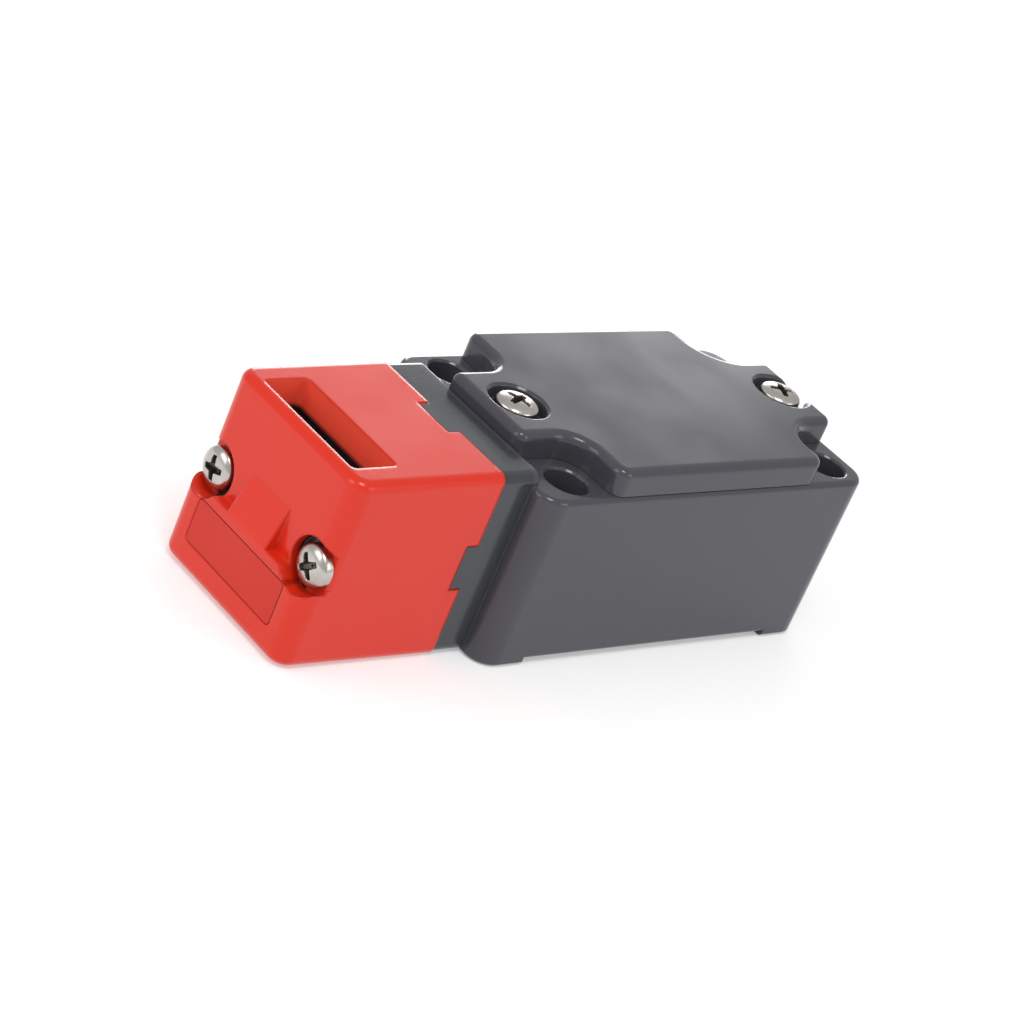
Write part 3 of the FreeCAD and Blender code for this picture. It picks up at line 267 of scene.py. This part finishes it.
@dataclass(frozen=True)
class Finish:
    """A dielectric finish with grain, mottle, rubbed edges and dust.

    Attributes:
        name: the material's name.
        colour: the base colour.
        mottled: the colour of the broad patches.
        worn: the colour of rubbed edges.
        roughness: the gloss of the open faces.
        roughness_swing: how far the grain moves the roughness.
        fine_scale: grain features a metre.
        relief: depth of the grain, in metres.
        wear: share of the edges that is rubbed.
        dust: amount of settled specks.
        coat: strength of a clear coat.
        specular: level of the mirror-like share.
        softening: radius that paint or moulding rounds every corner to, in metres.
    """

    name: str
    colour: Colour
    mottled: Colour
    worn: Colour
    roughness: float = 0.35
    roughness_swing: float = 0.08
    fine_scale: float = 2500.0
    relief: float = 0.00001
    wear: float = 0.15
    dust: float = 0.05
    coat: float = 0.0
    specular: float = 0.5
    softening: float = 0.00012

    def material(self) -> bpy.types.Material:
        """Builds the material, or returns it where it is already there."""
        known = bpy.data.materials.get(self.name)
        if known is not None:
            return known
        made = bpy.data.materials.new(self.name)
        made.use_nodes = True
        shade = Shade(made.node_tree)
        surface = made.node_tree.nodes["Principled BSDF"]
        grain = shade.group(EFFECTS.grain, Fine_Scale=self.fine_scale)
        self.dress(shade, surface, grain)
        surface.inputs["Coat Weight"].default_value = self.coat
        surface.inputs["Specular IOR Level"].default_value = self.specular
        return made

    def dress(self, shade: Shade, surface: bpy.types.Node, grain: bpy.types.Node) -> None:
        """Feeds colour, roughness and relief.

        Args:
            shade: the material's tree.
            surface: its Principled BSDF.
            grain: its placed grain group.
        """
        base = self.base_colour(shade, grain)
        wear = shade.group(EFFECTS.wear, Amount=self.wear).outputs["Mask"]
        dust = shade.group(EFFECTS.dust, Amount=self.dust).outputs["Mask"]
        rubbed = shade.mix(wear, base, opaque(self.worn))
        dusty = shade.mix(dust, rubbed, opaque(DUST_COLOUR))
        shade.feed(surface.inputs["Base Color"], dusty)
        low, high = self.roughness - self.roughness_swing, self.roughness + self.roughness_swing
        rough = shade.spread(grain.outputs["Mottle"], 0.0, 1.0, low, high)
        dulled = shade.maths("MULTIPLY", dust, DUST_DULLING)
        shade.feed(surface.inputs["Roughness"], shade.maths("ADD", rough, dulled))
        rounded = shade.node("Bevel", {"Radius": self.softening}, samples=8).outputs[0]
        relief = {"Height": grain.outputs["Height"], "Distance": self.relief, "Normal": rounded}
        shade.feed(surface.inputs["Normal"], shade.node("Bump", relief).outputs[0])

    def base_colour(self, shade: Shade, grain: bpy.types.Node) -> bpy.types.NodeSocket:
        """The colour before wear and dust: two close tones in broad patches."""
        return shade.mix(grain.outputs["Mottle"], opaque(self.colour), opaque(self.mottled))


@dataclass(frozen=True)
class HeadPaintMouthLightShade(Finish):
    """Paint of the cast head, with painted shade below a level inside its key mouth and painted light on
    the mouth's walls above that level.

    Attributes:
        mouth_shade: the near-black colour painted deep in the mouth as painted shade.
        wall_light: a brighter red painted on the mouth's walls as painted light.
        painted_shade_top: the height below which the mouth is painted in shade, in metres.
        rim_low: the height just under the mouth's rim, in metres.
        inside: the rectangle of the mouth seen from above, as low x, high x and half width.
    """

    # Painted shade: a near-black colour put deep inside the key mouth, where shade falls.
    mouth_shade: Colour = (0.012, 0.011, 0.011)
    # Painted light: a brighter red on the mouth's walls, standing in for light bounced inside.
    wall_light: Colour = (0.95, 0.1, 0.055)
    painted_shade_top: float = 0.0
    rim_low: float = 0.0
    inside: tuple[float, float, float] = (0.0, 0.0, 0.0)

    def base_colour(self, shade: Shade, grain: bpy.types.Node) -> bpy.types.NodeSocket:
        """Paint outside; in the mouth, painted light on the walls under the rim and painted shade further
        down.
        """
        paint = shade.mix(grain.outputs["Mottle"], opaque(self.colour), opaque(self.mottled))
        place = shade.node("SeparateXYZ", {0: shade.node("TexCoord").outputs["Object"]}).outputs
        fade = 0.4 * MILLIMETRE
        edge = fade / 4
        front, back, half = self.inside
        behind = shade.spread(place["X"], front - edge, front + edge)
        before = shade.spread(place["X"], back + edge, back - edge)
        across = shade.spread(shade.maths("ABSOLUTE", place["Y"]), half + edge, half - edge)
        below = shade.spread(place["Z"], self.painted_shade_top + fade, self.painted_shade_top - fade)
        within = shade.maths("MULTIPLY", shade.maths("MULTIPLY", behind, before), across)
        sunk = shade.spread(place["Z"], self.rim_low, self.rim_low - fade)
        # Painted light: the mouth's walls under the rim take a brighter red.
        walls = shade.mix(shade.maths("MULTIPLY", within, sunk), paint, opaque(self.wall_light))
        # Painted shade: deep in the mouth the colour turns near black.
        return shade.mix(shade.maths("MULTIPLY", within, below), walls, opaque(self.mouth_shade))


@dataclass(frozen=True)
class HousingPlastic(Finish):
    """Moulded plastic of the housing, duller and bluer on the neck.

    Attributes:
        neck_colour: the neck's colour.
        neck_end: where the neck ends, as x in metres.
    """

    neck_colour: Colour = (0.06, 0.065, 0.07)
    neck_end: float = 0.0

    def base_colour(self, shade: Shade, grain: bpy.types.Node) -> bpy.types.NodeSocket:
        """The housing's tones, with the neck's beyond its end."""
        open_faces = shade.mix(grain.outputs["Mottle"], opaque(self.colour), opaque(self.mottled))
        place = shade.node("SeparateXYZ", {0: shade.node("TexCoord").outputs["Object"]}).outputs
        fade = 0.05 * MILLIMETRE
        neck = shade.spread(place["X"], self.neck_end + fade, self.neck_end - fade)
        return shade.mix(neck, open_faces, opaque(self.neck_colour))


@dataclass(frozen=True)
class Metal:
    """A bare or plated metal with fine scratches, tarnish and rubbed edges.

    Attributes:
        name: the material's name.
        colour: the clean metal.
        dulled: the tarnished or dirty metal.
        roughness: the gloss of the clean metal.
        stretch: how much the scratches are drawn out.
        fine_scale: scratches a metre.
        relief: depth of the scratches, in metres.
    """

    name: str
    colour: Colour
    dulled: Colour
    roughness: float = 0.3
    stretch: float = 1.0
    fine_scale: float = 4000.0
    relief: float = 0.000006

    def material(self) -> bpy.types.Material:
        """Builds the material, or returns it where it is already there."""
        known = bpy.data.materials.get(self.name)
        if known is not None:
            return known
        made = bpy.data.materials.new(self.name)
        made.use_nodes = True
        shade = Shade(made.node_tree)
        surface = made.node_tree.nodes["Principled BSDF"]
        surface.inputs["Metallic"].default_value = 1.0
        scales = {"Fine_Scale": self.fine_scale, "Broad_Scale": TARNISH_SCALE, "Stretch": self.stretch}
        grain = shade.group(EFFECTS.grain, **scales)
        wear = shade.group(EFFECTS.wear, Amount=1.0).outputs["Mask"]
        dull = shade.maths("MULTIPLY", grain.outputs["Mottle"], shade.maths("SUBTRACT", 1.0, wear))
        shade.feed(surface.inputs["Base Color"], shade.mix(dull, opaque(self.colour), opaque(self.dulled)))
        rough = shade.spread(dull, 0.0, 1.0, self.roughness, self.roughness * TARNISH_DULLING)
        shade.feed(surface.inputs["Roughness"], rough)
        relief = shade.node("Bump", {"Height": grain.outputs["Height"], "Distance": self.relief})
        shade.feed(surface.inputs["Normal"], relief.outputs[0])
        return made


# ---------------------------------------------------------------------------------------------
# Meshes
# ---------------------------------------------------------------------------------------------


def make_piece(
    name: str, mesh: bmesh.types.BMesh, finishes: tuple[Finish | Metal, ...]
) -> bpy.types.Object:
    """Turns a bmesh into a smooth-shaded piece of the switch body.

    Args:
        name: the piece's name.
        mesh: its mesh in the row frame, which is freed.
        finishes: its finishes, in the order of the faces' material numbers.

    Returns:
        The new object.
    """
    bmesh.ops.recalc_face_normals(mesh, faces=mesh.faces)
    for face in mesh.faces:
        face.smooth = True
    data = bpy.data.meshes.new(name)
    mesh.to_mesh(data)
    mesh.free()
    piece = bpy.data.objects.new(name, data)
    bpy.context.scene.collection.objects.link(piece)
    for finish in finishes:
        data.materials.append(finish.material())
    data.set_sharp_from_angle(angle=SMOOTH_ANGLE)
    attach(piece, ROOT_BODY)
    return piece


# Proportions that all the cross-recess screws share, as parts of the head's radius.
ARM_SHARE = 0.62
BLADE_SHARE = 0.15
RECESS_SHARE = 0.5

# The head's curve, and how its recess arms widen, fall off and grow shallower outwards.
CROWN_POWER = 2.6
MIDDLE_WIDTH = 1.35
ARM_NARROWING = 0.5
ARM_SHALLOWING = 0.5
SIDE_SLOPE = 0.35
END_SLOPE = 0.7

# Rings of the head's side, as parts of its radius and of the rim's height.
SKIRT_RINGS = ((1.0, 0.5), (1.0, 0.08), (0.97, 0.0))

# Part of the full depth from which a face counts as the recess and takes the painted shade.
RECESS_EDGE = 0.12


@dataclass(frozen=True)
class ScrewShape:
    """Sizes of one cross-recess screw, in metres, along its own axis from the seat up.

    Attributes:
        head_radius: half the head's width.
        head_height: the height of its crown above the seat.
        rim_height: the height where the side turns into the crown.
        shank_radius: half the shank's width.
        shank_length: the shank below the seat.
        arm: the reach of the recess from the middle.
        blade: half the width of a recess arm at its mouth.
        recess_depth: how deep the recess goes.
    """

    head_radius: float
    head_height: float
    rim_height: float
    shank_radius: float
    shank_length: float
    arm: float
    blade: float
    recess_depth: float

    @classmethod
    def crossed(
        cls, radius: float, head_height: float, rim_share: float, shank_share: float, shank_length: float
    ) -> "ScrewShape":
        """A screw with the usual cross recess for its head.

        Args:
            radius: half the head's width.
            head_height: the height of its crown above the seat.
            rim_share: the part of that height below the crown.
            shank_share: the shank's width as a part of the head's.
            shank_length: the shank below the seat.

        Returns:
            The screw's sizes.
        """
        return cls(
            head_radius=radius,
            head_height=head_height,
            rim_height=head_height * rim_share,
            shank_radius=radius * shank_share,
            shank_length=shank_length,
            arm=radius * ARM_SHARE,
            blade=radius * BLADE_SHARE,
            recess_depth=radius * RECESS_SHARE,
        )

    def crown(self, radius: float) -> float:
        """Height of the domed head at a distance from its middle."""
        share = min(radius / self.head_radius, 1.0)
        rise = math.sqrt(max(0.0, 1.0 - share ** CROWN_POWER))
        return self.rim_height + (self.head_height - self.rim_height) * rise

    def recess(self, along: float, across: float) -> float:
        """Depth of the cross recess at a point of the head."""
        return max(self.arm_depth(along, across), self.arm_depth(across, along))

    def arm_depth(self, along: float, across: float) -> float:
        """Depth of one pair of recess arms, which widen and deepen towards the middle."""
        outward = min(abs(along) / self.arm, 1.0)
        half = self.blade * (MIDDLE_WIDTH - ARM_NARROWING * outward)
        side = (half - abs(across)) / (self.blade * SIDE_SLOPE)
        end = (self.arm - abs(along)) / (self.blade * END_SLOPE)
        depth = self.recess_depth * (1.0 - ARM_SHALLOWING * outward)
        return depth * smooth_step(min(side, end))


def smooth_step(share: float) -> float:
    """0 below 0, 1 above 1, and an even curve between."""
    held = min(max(share, 0.0), 1.0)
    return held * held * (3.0 - 2.0 * held)


def screw_mesh(mesh: bmesh.types.BMesh, shape: ScrewShape, place: Matrix) -> None:
    """Adds a screw: a domed head with its recess, a rounded rim and a shank.

    Args:
        mesh: the mesh to add to.
        shape: the screw's sizes.
        place: from the screw's own frame, with its axis along +Z, to the row frame.
    """
    around, rings = 144, 56
    levels: list[list[bmesh.types.BMVert]] = []

    def ring(radius: float, height: Callable[[float, float], float]) -> None:
        """Adds one ring of points at a radius, with its own height at each point."""
        row = []
        for step in range(around):
            angle = 2 * math.pi * step / around
            x, y = radius * math.cos(angle), radius * math.sin(angle)
            row.append(mesh.verts.new(place @ Vector((x, y, height(x, y)))))
        levels.append(row)

    for number in range(1, rings + 1):
        radius = shape.head_radius * number / rings
        level = shape.crown(radius)
        ring(radius, lambda x, y: level - shape.recess(x, y))
    for width, level in SKIRT_RINGS:
        ring(shape.head_radius * width, lambda x, y: shape.rim_height * level)
    ring(shape.shank_radius, lambda x, y: 0.0)
    ring(shape.shank_radius, lambda x, y: -shape.shank_length)
    middle = mesh.verts.new(place @ Vector((0, 0, shape.crown(0.0) - shape.recess_depth)))
    tip = mesh.verts.new(place @ Vector((0, 0, -shape.shank_length)))
    back = place.inverted()
    for step in range(around):
        after = (step + 1) % around
        added = [mesh.faces.new((middle, levels[0][step], levels[0][after]))]
        for low, high in zip(levels, levels[1:]):
            added.append(mesh.faces.new((low[step], high[step], high[after], low[after])))
        mesh.faces.new((levels[-1][step], tip, levels[-1][after]))
        # Faces deep in the recess take the second finish, a dark metal that paints the recess's shade.
        for face in added[:rings]:
            centre = back @ face.calc_center_median()
            if shape.recess(centre.x, centre.y) > shape.recess_depth * RECESS_EDGE:
                face.material_index = 1


# ---------------------------------------------------------------------------------------------
# Sub-assemblies
# ---------------------------------------------------------------------------------------------


@dataclass
class OperatingHead:
    """Red head: painted casting, plug and screws."""

    # Depth under the top from which the mouth is painted in shade.
    painted_shade_depth: float = 3.4 * MILLIMETRE
    mouth_front: float = 2.75 * MILLIMETRE
    mouth_length: float = 6.2 * MILLIMETRE
    half_mouth: float = 8.5 * MILLIMETRE
    margin: float = 0.35 * MILLIMETRE
    crown_height: float = 1.8 * MILLIMETRE
    rim_share: float = 0.42
    shank_share: float = 0.53

    def paint(self) -> HeadPaintMouthLightShade:
        """The head's paint, with the painted light and painted shade inside its mouth placed from the
        frame.
        """
        low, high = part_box("head_housing")
        front = low.x + self.mouth_front - self.margin
        back = low.x + self.mouth_front + self.mouth_length + self.margin
        inside = (front, back, self.half_mouth + self.margin)
        return HeadPaintMouthLightShade(
            name="head_paint_mouth_light_shade",
            colour=(0.66, 0.024, 0.007),
            mottled=(0.64, 0.022, 0.006),
            worn=(0.7, 0.04, 0.02),
            roughness=0.22,
            roughness_swing=0.03,
            fine_scale=1600.0,
            relief=0.000006,
            wear=0.06,
            dust=0.04,
            coat=0.1,
            specular=0.34,
            softening=0.0005,
            painted_shade_top=high.z - self.painted_shade_depth,
            rim_low=high.z - 0.1 * MILLIMETRE,
            inside=inside,
        )

    def plug(self) -> Finish:
        """Moulded red plug, a little darker and duller than the paint."""
        return Finish(
            name="plug_plastic",
            colour=(0.57, 0.02, 0.007),
            mottled=(0.55, 0.019, 0.006),
            worn=(0.6, 0.04, 0.02),
            roughness=0.45,
            roughness_swing=0.04,
            fine_scale=3500.0,
            relief=0.000007,
            wear=0.05,
            dust=0.03,
            specular=0.34,
        )

    def screws(self) -> bpy.types.Object:
        """Pan-head screws, in place of the plain ones of the frame."""
        low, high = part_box("head_screws")
        radius = self.screw_radius()
        seat = low.x + self.crown_height
        length = high.x - seat
        shape = ScrewShape.crossed(radius, self.crown_height, self.rim_share, self.shank_share, length)
        mesh = bmesh.new()
        middle_z = (low.z + high.z) / 2
        outward = Matrix.Rotation(math.radians(-90), 4, "Y")
        for side, turn in ((low.y + radius, 38.0), (high.y - radius, 12.0)):
            place = Matrix.Translation((seat, side, middle_z)) @ outward
            screw_mesh(mesh, shape, place @ Matrix.Rotation(math.radians(turn), 4, "Z"))
        piece = make_piece("head_screws_detailed", mesh, (STAINLESS, SCREW_RECESS_SHADE))
        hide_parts("head_screws")
        return piece

    @staticmethod
    def screw_radius() -> float:
        """Half the width of a screw's head, from the frame."""
        low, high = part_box("head_screws")
        return (high.z - low.z) / 2


@dataclass
class ContactHousing:
    """Dark housing with its cover, screws and threaded entry."""

    crown_height: float = 1.7 * MILLIMETRE
    crown_raise: float = 0.4 * MILLIMETRE
    rim_share: float = 0.6
    shank_share: float = 0.55
    neck_length: float = 4.5 * MILLIMETRE
    entry_radius: float = 7.25 * MILLIMETRE
    thread_depth: float = 0.5 * MILLIMETRE
    thread_pitch: float = 1.5 * MILLIMETRE
    thread_turns: int = 5
    flank_share: float = 0.44

    def plastic(self) -> HousingPlastic:
        """Glossy moulded plastic of the housing and cover."""
        neck_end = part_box("head_housing")[1].x + self.neck_length
        return HousingPlastic(
            name="housing_plastic",
            colour=(0.057, 0.056, 0.068),
            mottled=(0.055, 0.054, 0.065),
            worn=(0.1, 0.1, 0.11),
            roughness=0.15,
            roughness_swing=0.03,
            fine_scale=2200.0,
            relief=0.000004,
            wear=0.08,
            dust=0.04,
            specular=0.42,
            softening=0.0002,
            neck_colour=(0.039, 0.042, 0.049),
            neck_end=neck_end,
        )

    def entry_thread(self, plastic: HousingPlastic) -> bpy.types.Object:
        """Thread ridge inside the conduit entry, as a helix with thinned-out ends.

        Args:
            plastic: the housing's finish.

        Returns:
            The thread.
        """
        mount = next(item for item in frame["record"]["mounts"] if item["name"] == "conduit_entry")
        middle_y, middle_z = mount["pos_m"][1:]
        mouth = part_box("body_housing")[1].x - self.thread_pitch
        mesh = bmesh.new()
        around = 96
        steps = around * self.thread_turns
        flank = self.thread_pitch * self.flank_share
        foot = self.entry_radius
        loops = []

        def point(along: float, radius: float, angle: float) -> bmesh.types.BMVert:
            """Adds one point of the ridge, round the middle line of the entry."""
            y = middle_y + radius * math.cos(angle)
            z = middle_z + radius * math.sin(angle)
            return mesh.verts.new((along, y, z))

        for step in range(steps + 1):
            angle = 2 * math.pi * step / around
            rise = smooth_step(min(step, steps - step) / (around / 4))
            crest = foot - self.thread_depth * rise
            along = mouth - self.thread_pitch * step / around
            profile = ((-flank, foot), (-flank / 4, crest), (flank / 4, crest), (flank, foot))
            loops.append([point(along + shift, radius, angle) for shift, radius in profile])
        for before, after in zip(loops, loops[1:]):
            for number in range(3):
                mesh.faces.new((before[number], before[number + 1], after[number + 1], after[number]))
            mesh.faces.new((before[3], before[0], after[0], after[3]))
        mesh.faces.new(loops[0])
        mesh.faces.new(loops[-1])
        return make_piece("entry_thread", mesh, (plastic,))

    def screws(self) -> bpy.types.Object:
        """Cross-recess screws, in place of the plain ones of the frame."""
        low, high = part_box("cover_screws")
        radius = (high.y - low.y) / 2
        seat = high.z - self.crown_height
        height = self.crown_height + self.crown_raise
        shape = ScrewShape.crossed(radius, height, self.rim_share, self.shank_share, seat - low.z)
        mesh = bmesh.new()
        for along, turn in ((low.x + radius, 20.0), (high.x - radius, 65.0)):
            place = Matrix.Translation((along, (low.y + high.y) / 2, seat))
            screw_mesh(mesh, shape, place @ Matrix.Rotation(math.radians(turn), 4, "Z"))
        piece = make_piece("cover_screws_detailed", mesh, (STAINLESS, SCREW_RECESS_SHADE))
        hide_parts("cover_screws")
        return piece


STAINLESS = Metal(
    name="stainless_screws",
    colour=(0.60, 0.57, 0.53),
    dulled=(0.46, 0.43, 0.40),
    roughness=0.2,
    relief=0.000002,
)

# Painted shade: a dark metal for the deep faces of the cross recesses, where shade falls.
SCREW_RECESS_SHADE = Metal(
    name="screw_recess_shade",
    colour=(0.2, 0.17, 0.15),
    dulled=(0.07, 0.06, 0.05),
    roughness=0.4,
)

INNER_FINISHES: dict[Slot, Finish | Metal] = {
    Slot.STEEL: Metal("ground_steel", (0.52, 0.52, 0.53), (0.36, 0.36, 0.37), 0.3, 0.1),
    Slot.BRASS: Metal("plated_brass", (0.72, 0.55, 0.28), (0.5, 0.36, 0.18), 0.32),
    Slot.CONTACT_METAL: Metal("silvered_contacts", (0.8, 0.79, 0.76), (0.6, 0.58, 0.54), 0.25),
    Slot.ZINC_PLATED: Metal("zinc_plate", (0.66, 0.67, 0.7), (0.5, 0.5, 0.52), 0.3),
    Slot.STAINLESS: STAINLESS,
    Slot.BLACK_PLASTIC: Finish(
        "black_moulding", (0.02, 0.02, 0.022), (0.016, 0.016, 0.018), (0.06, 0.06, 0.06), 0.5
    ),
    Slot.LIGHT_PLASTIC: Finish(
        "light_moulding", (0.6, 0.59, 0.54), (0.56, 0.55, 0.5), (0.7, 0.7, 0.66), 0.45
    ),
    Slot.RUBBER: Finish(
        "black_rubber", (0.014, 0.014, 0.014), (0.02, 0.02, 0.02), (0.05, 0.05, 0.05), 0.75, 0.1
    ),
}


def dress_nodes(finishes: dict[str, Finish | Metal]) -> None:
    """Gives every node of the frame its finish.

    Args:
        finishes: node names to their own finishes; the rest take the one of their record slot.
    """
    for name, piece in frame["nodes"].items():
        given = piece.material_slots[0].material.name.split(".")[0]
        finish = finishes.get(name) or INNER_FINISHES[Slot(given)]
        piece.data.materials.clear()
        piece.data.materials.append(finish.material())
        LOG.info("%s dressed in %s", name, finish.name)


# ---------------------------------------------------------------------------------------------
# Studio
# ---------------------------------------------------------------------------------------------


@dataclass(frozen=True)
class SoftBox:
    """A square softbox, aimed at the switch.

    Attributes:
        name: the light's name.
        azimuth: its direction round the switch, in degrees from +X towards +Y.
        elevation: its height above the floor, in degrees.
        distance: from the switch, in metres.
        size: its side, in metres.
        power: in watts.
    """

    name: str
    azimuth: float
    elevation: float
    distance: float
    size: float
    power: float

    def hang(self, target: Vector) -> None:
        """Adds the light, turned to a target."""
        data = bpy.data.lights.new(self.name, "AREA")
        data.shape = "SQUARE"
        data.size = self.size
        data.energy = self.power
        light = bpy.data.objects.new(self.name, data)
        turn, rise = math.radians(self.azimuth), math.radians(self.elevation)
        outward = Vector((math.cos(turn) * math.cos(rise), math.sin(turn) * math.cos(rise), math.sin(rise)))
        light.location = target + outward * self.distance
        light.rotation_euler = (-outward).to_track_quat("-Z", "Y").to_euler()
        bpy.context.scene.collection.objects.link(light)


@dataclass
class Studio:
    """Plain pale floor with a glow of its own, an even white surround, softboxes and the camera."""

    surround: float = 0.62
    floor_size: float = 6.0
    floor_colour: Colour = (0.72, 0.72, 0.72)
    floor_glow: float = 0.32
    camera_place: Point = (-0.2636, -0.2089, 0.1686)
    camera_target: Point = (-0.0148, 0.0, 0.0101)
    camera_roll: float = 23.53
    lens: float = 111.12
    boxes: tuple[SoftBox, ...] = (
        SoftBox("key_softbox", -130.0, 63.0, 0.9, 0.3, 2.8),
        SoftBox("left_softbox", 165.0, 30.0, 0.9, 0.5, 1.8),
        SoftBox("near_softbox", -65.0, 24.0, 0.9, 0.4, 1.1),
        SoftBox("far_softbox", 47.5, 9.1, 1.0, 0.42, 3.1),
    )

    def light(self) -> None:
        """Lights the scene."""
        world = bpy.data.worlds.new("white_surround")
        world.use_nodes = True
        ground = world.node_tree.nodes["Background"]
        ground.inputs["Color"].default_value = opaque(WHITE)
        ground.inputs["Strength"].default_value = self.surround
        bpy.context.scene.world = world
        bpy.context.scene.view_settings.view_transform = "Standard"
        for box in self.boxes:
            box.hang(Vector(self.camera_target))

    def lay_floor(self) -> None:
        """Adds the floor, a hair below the feet."""
        mesh = bmesh.new()
        bmesh.ops.create_grid(mesh, x_segments=1, y_segments=1, size=self.floor_size / 2)
        data = bpy.data.meshes.new("studio_floor")
        mesh.to_mesh(data)
        mesh.free()
        floor = bpy.data.objects.new("studio_floor", data)
        floor.location.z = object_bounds()[0].z - 0.05 * MILLIMETRE
        bpy.context.scene.collection.objects.link(floor)
        finish = bpy.data.materials.new("pale_floor")
        finish.use_nodes = True
        surface = finish.node_tree.nodes["Principled BSDF"]
        surface.inputs["Base Color"].default_value = opaque(self.floor_colour)
        surface.inputs["Roughness"].default_value = 0.9
        surface.inputs["Specular IOR Level"].default_value = 0.0
        surface.inputs["Emission Color"].default_value = opaque(WHITE)
        surface.inputs["Emission Strength"].default_value = self.floor_glow
        data.materials.append(finish)
        floor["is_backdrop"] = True

    def place_camera(self) -> None:
        """Adds the camera at its viewing angle, rolled about its own axis."""
        data = bpy.data.cameras.new("product_camera")
        data.sensor_width = 36.0
        data.lens = self.lens
        data.clip_start = 0.01
        camera = bpy.data.objects.new("product_camera", data)
        place, target = Vector(self.camera_place), Vector(self.camera_target)
        level = (target - place).to_track_quat("-Z", "Y").to_matrix().to_4x4()
        roll = Matrix.Rotation(math.radians(self.camera_roll), 4, "Z")
        camera.matrix_world = Matrix.Translation(place) @ level @ roll
        bpy.context.scene.collection.objects.link(camera)
        bpy.context.scene.camera = camera


def main() -> None:
    """Builds every sub-assembly in order."""
    logging.basicConfig(level=logging.INFO, format="%(name)s: %(message)s")
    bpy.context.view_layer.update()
    head, housing = OperatingHead(), ContactHousing()
    plastic = housing.plastic()
    dress_nodes(
        {
            "head_housing": head.paint(),
            "slot_plug": head.plug(),
            "body_housing": plastic,
            "cover": plastic,
        }
    )
    for piece in (head.screws(), housing.screws(), housing.entry_thread(plastic)):
        LOG.info("%s built", piece.name)
    studio = Studio()
    studio.lay_floor()
    studio.light()
    studio.place_camera()


if __name__ == "__main__":
    main()
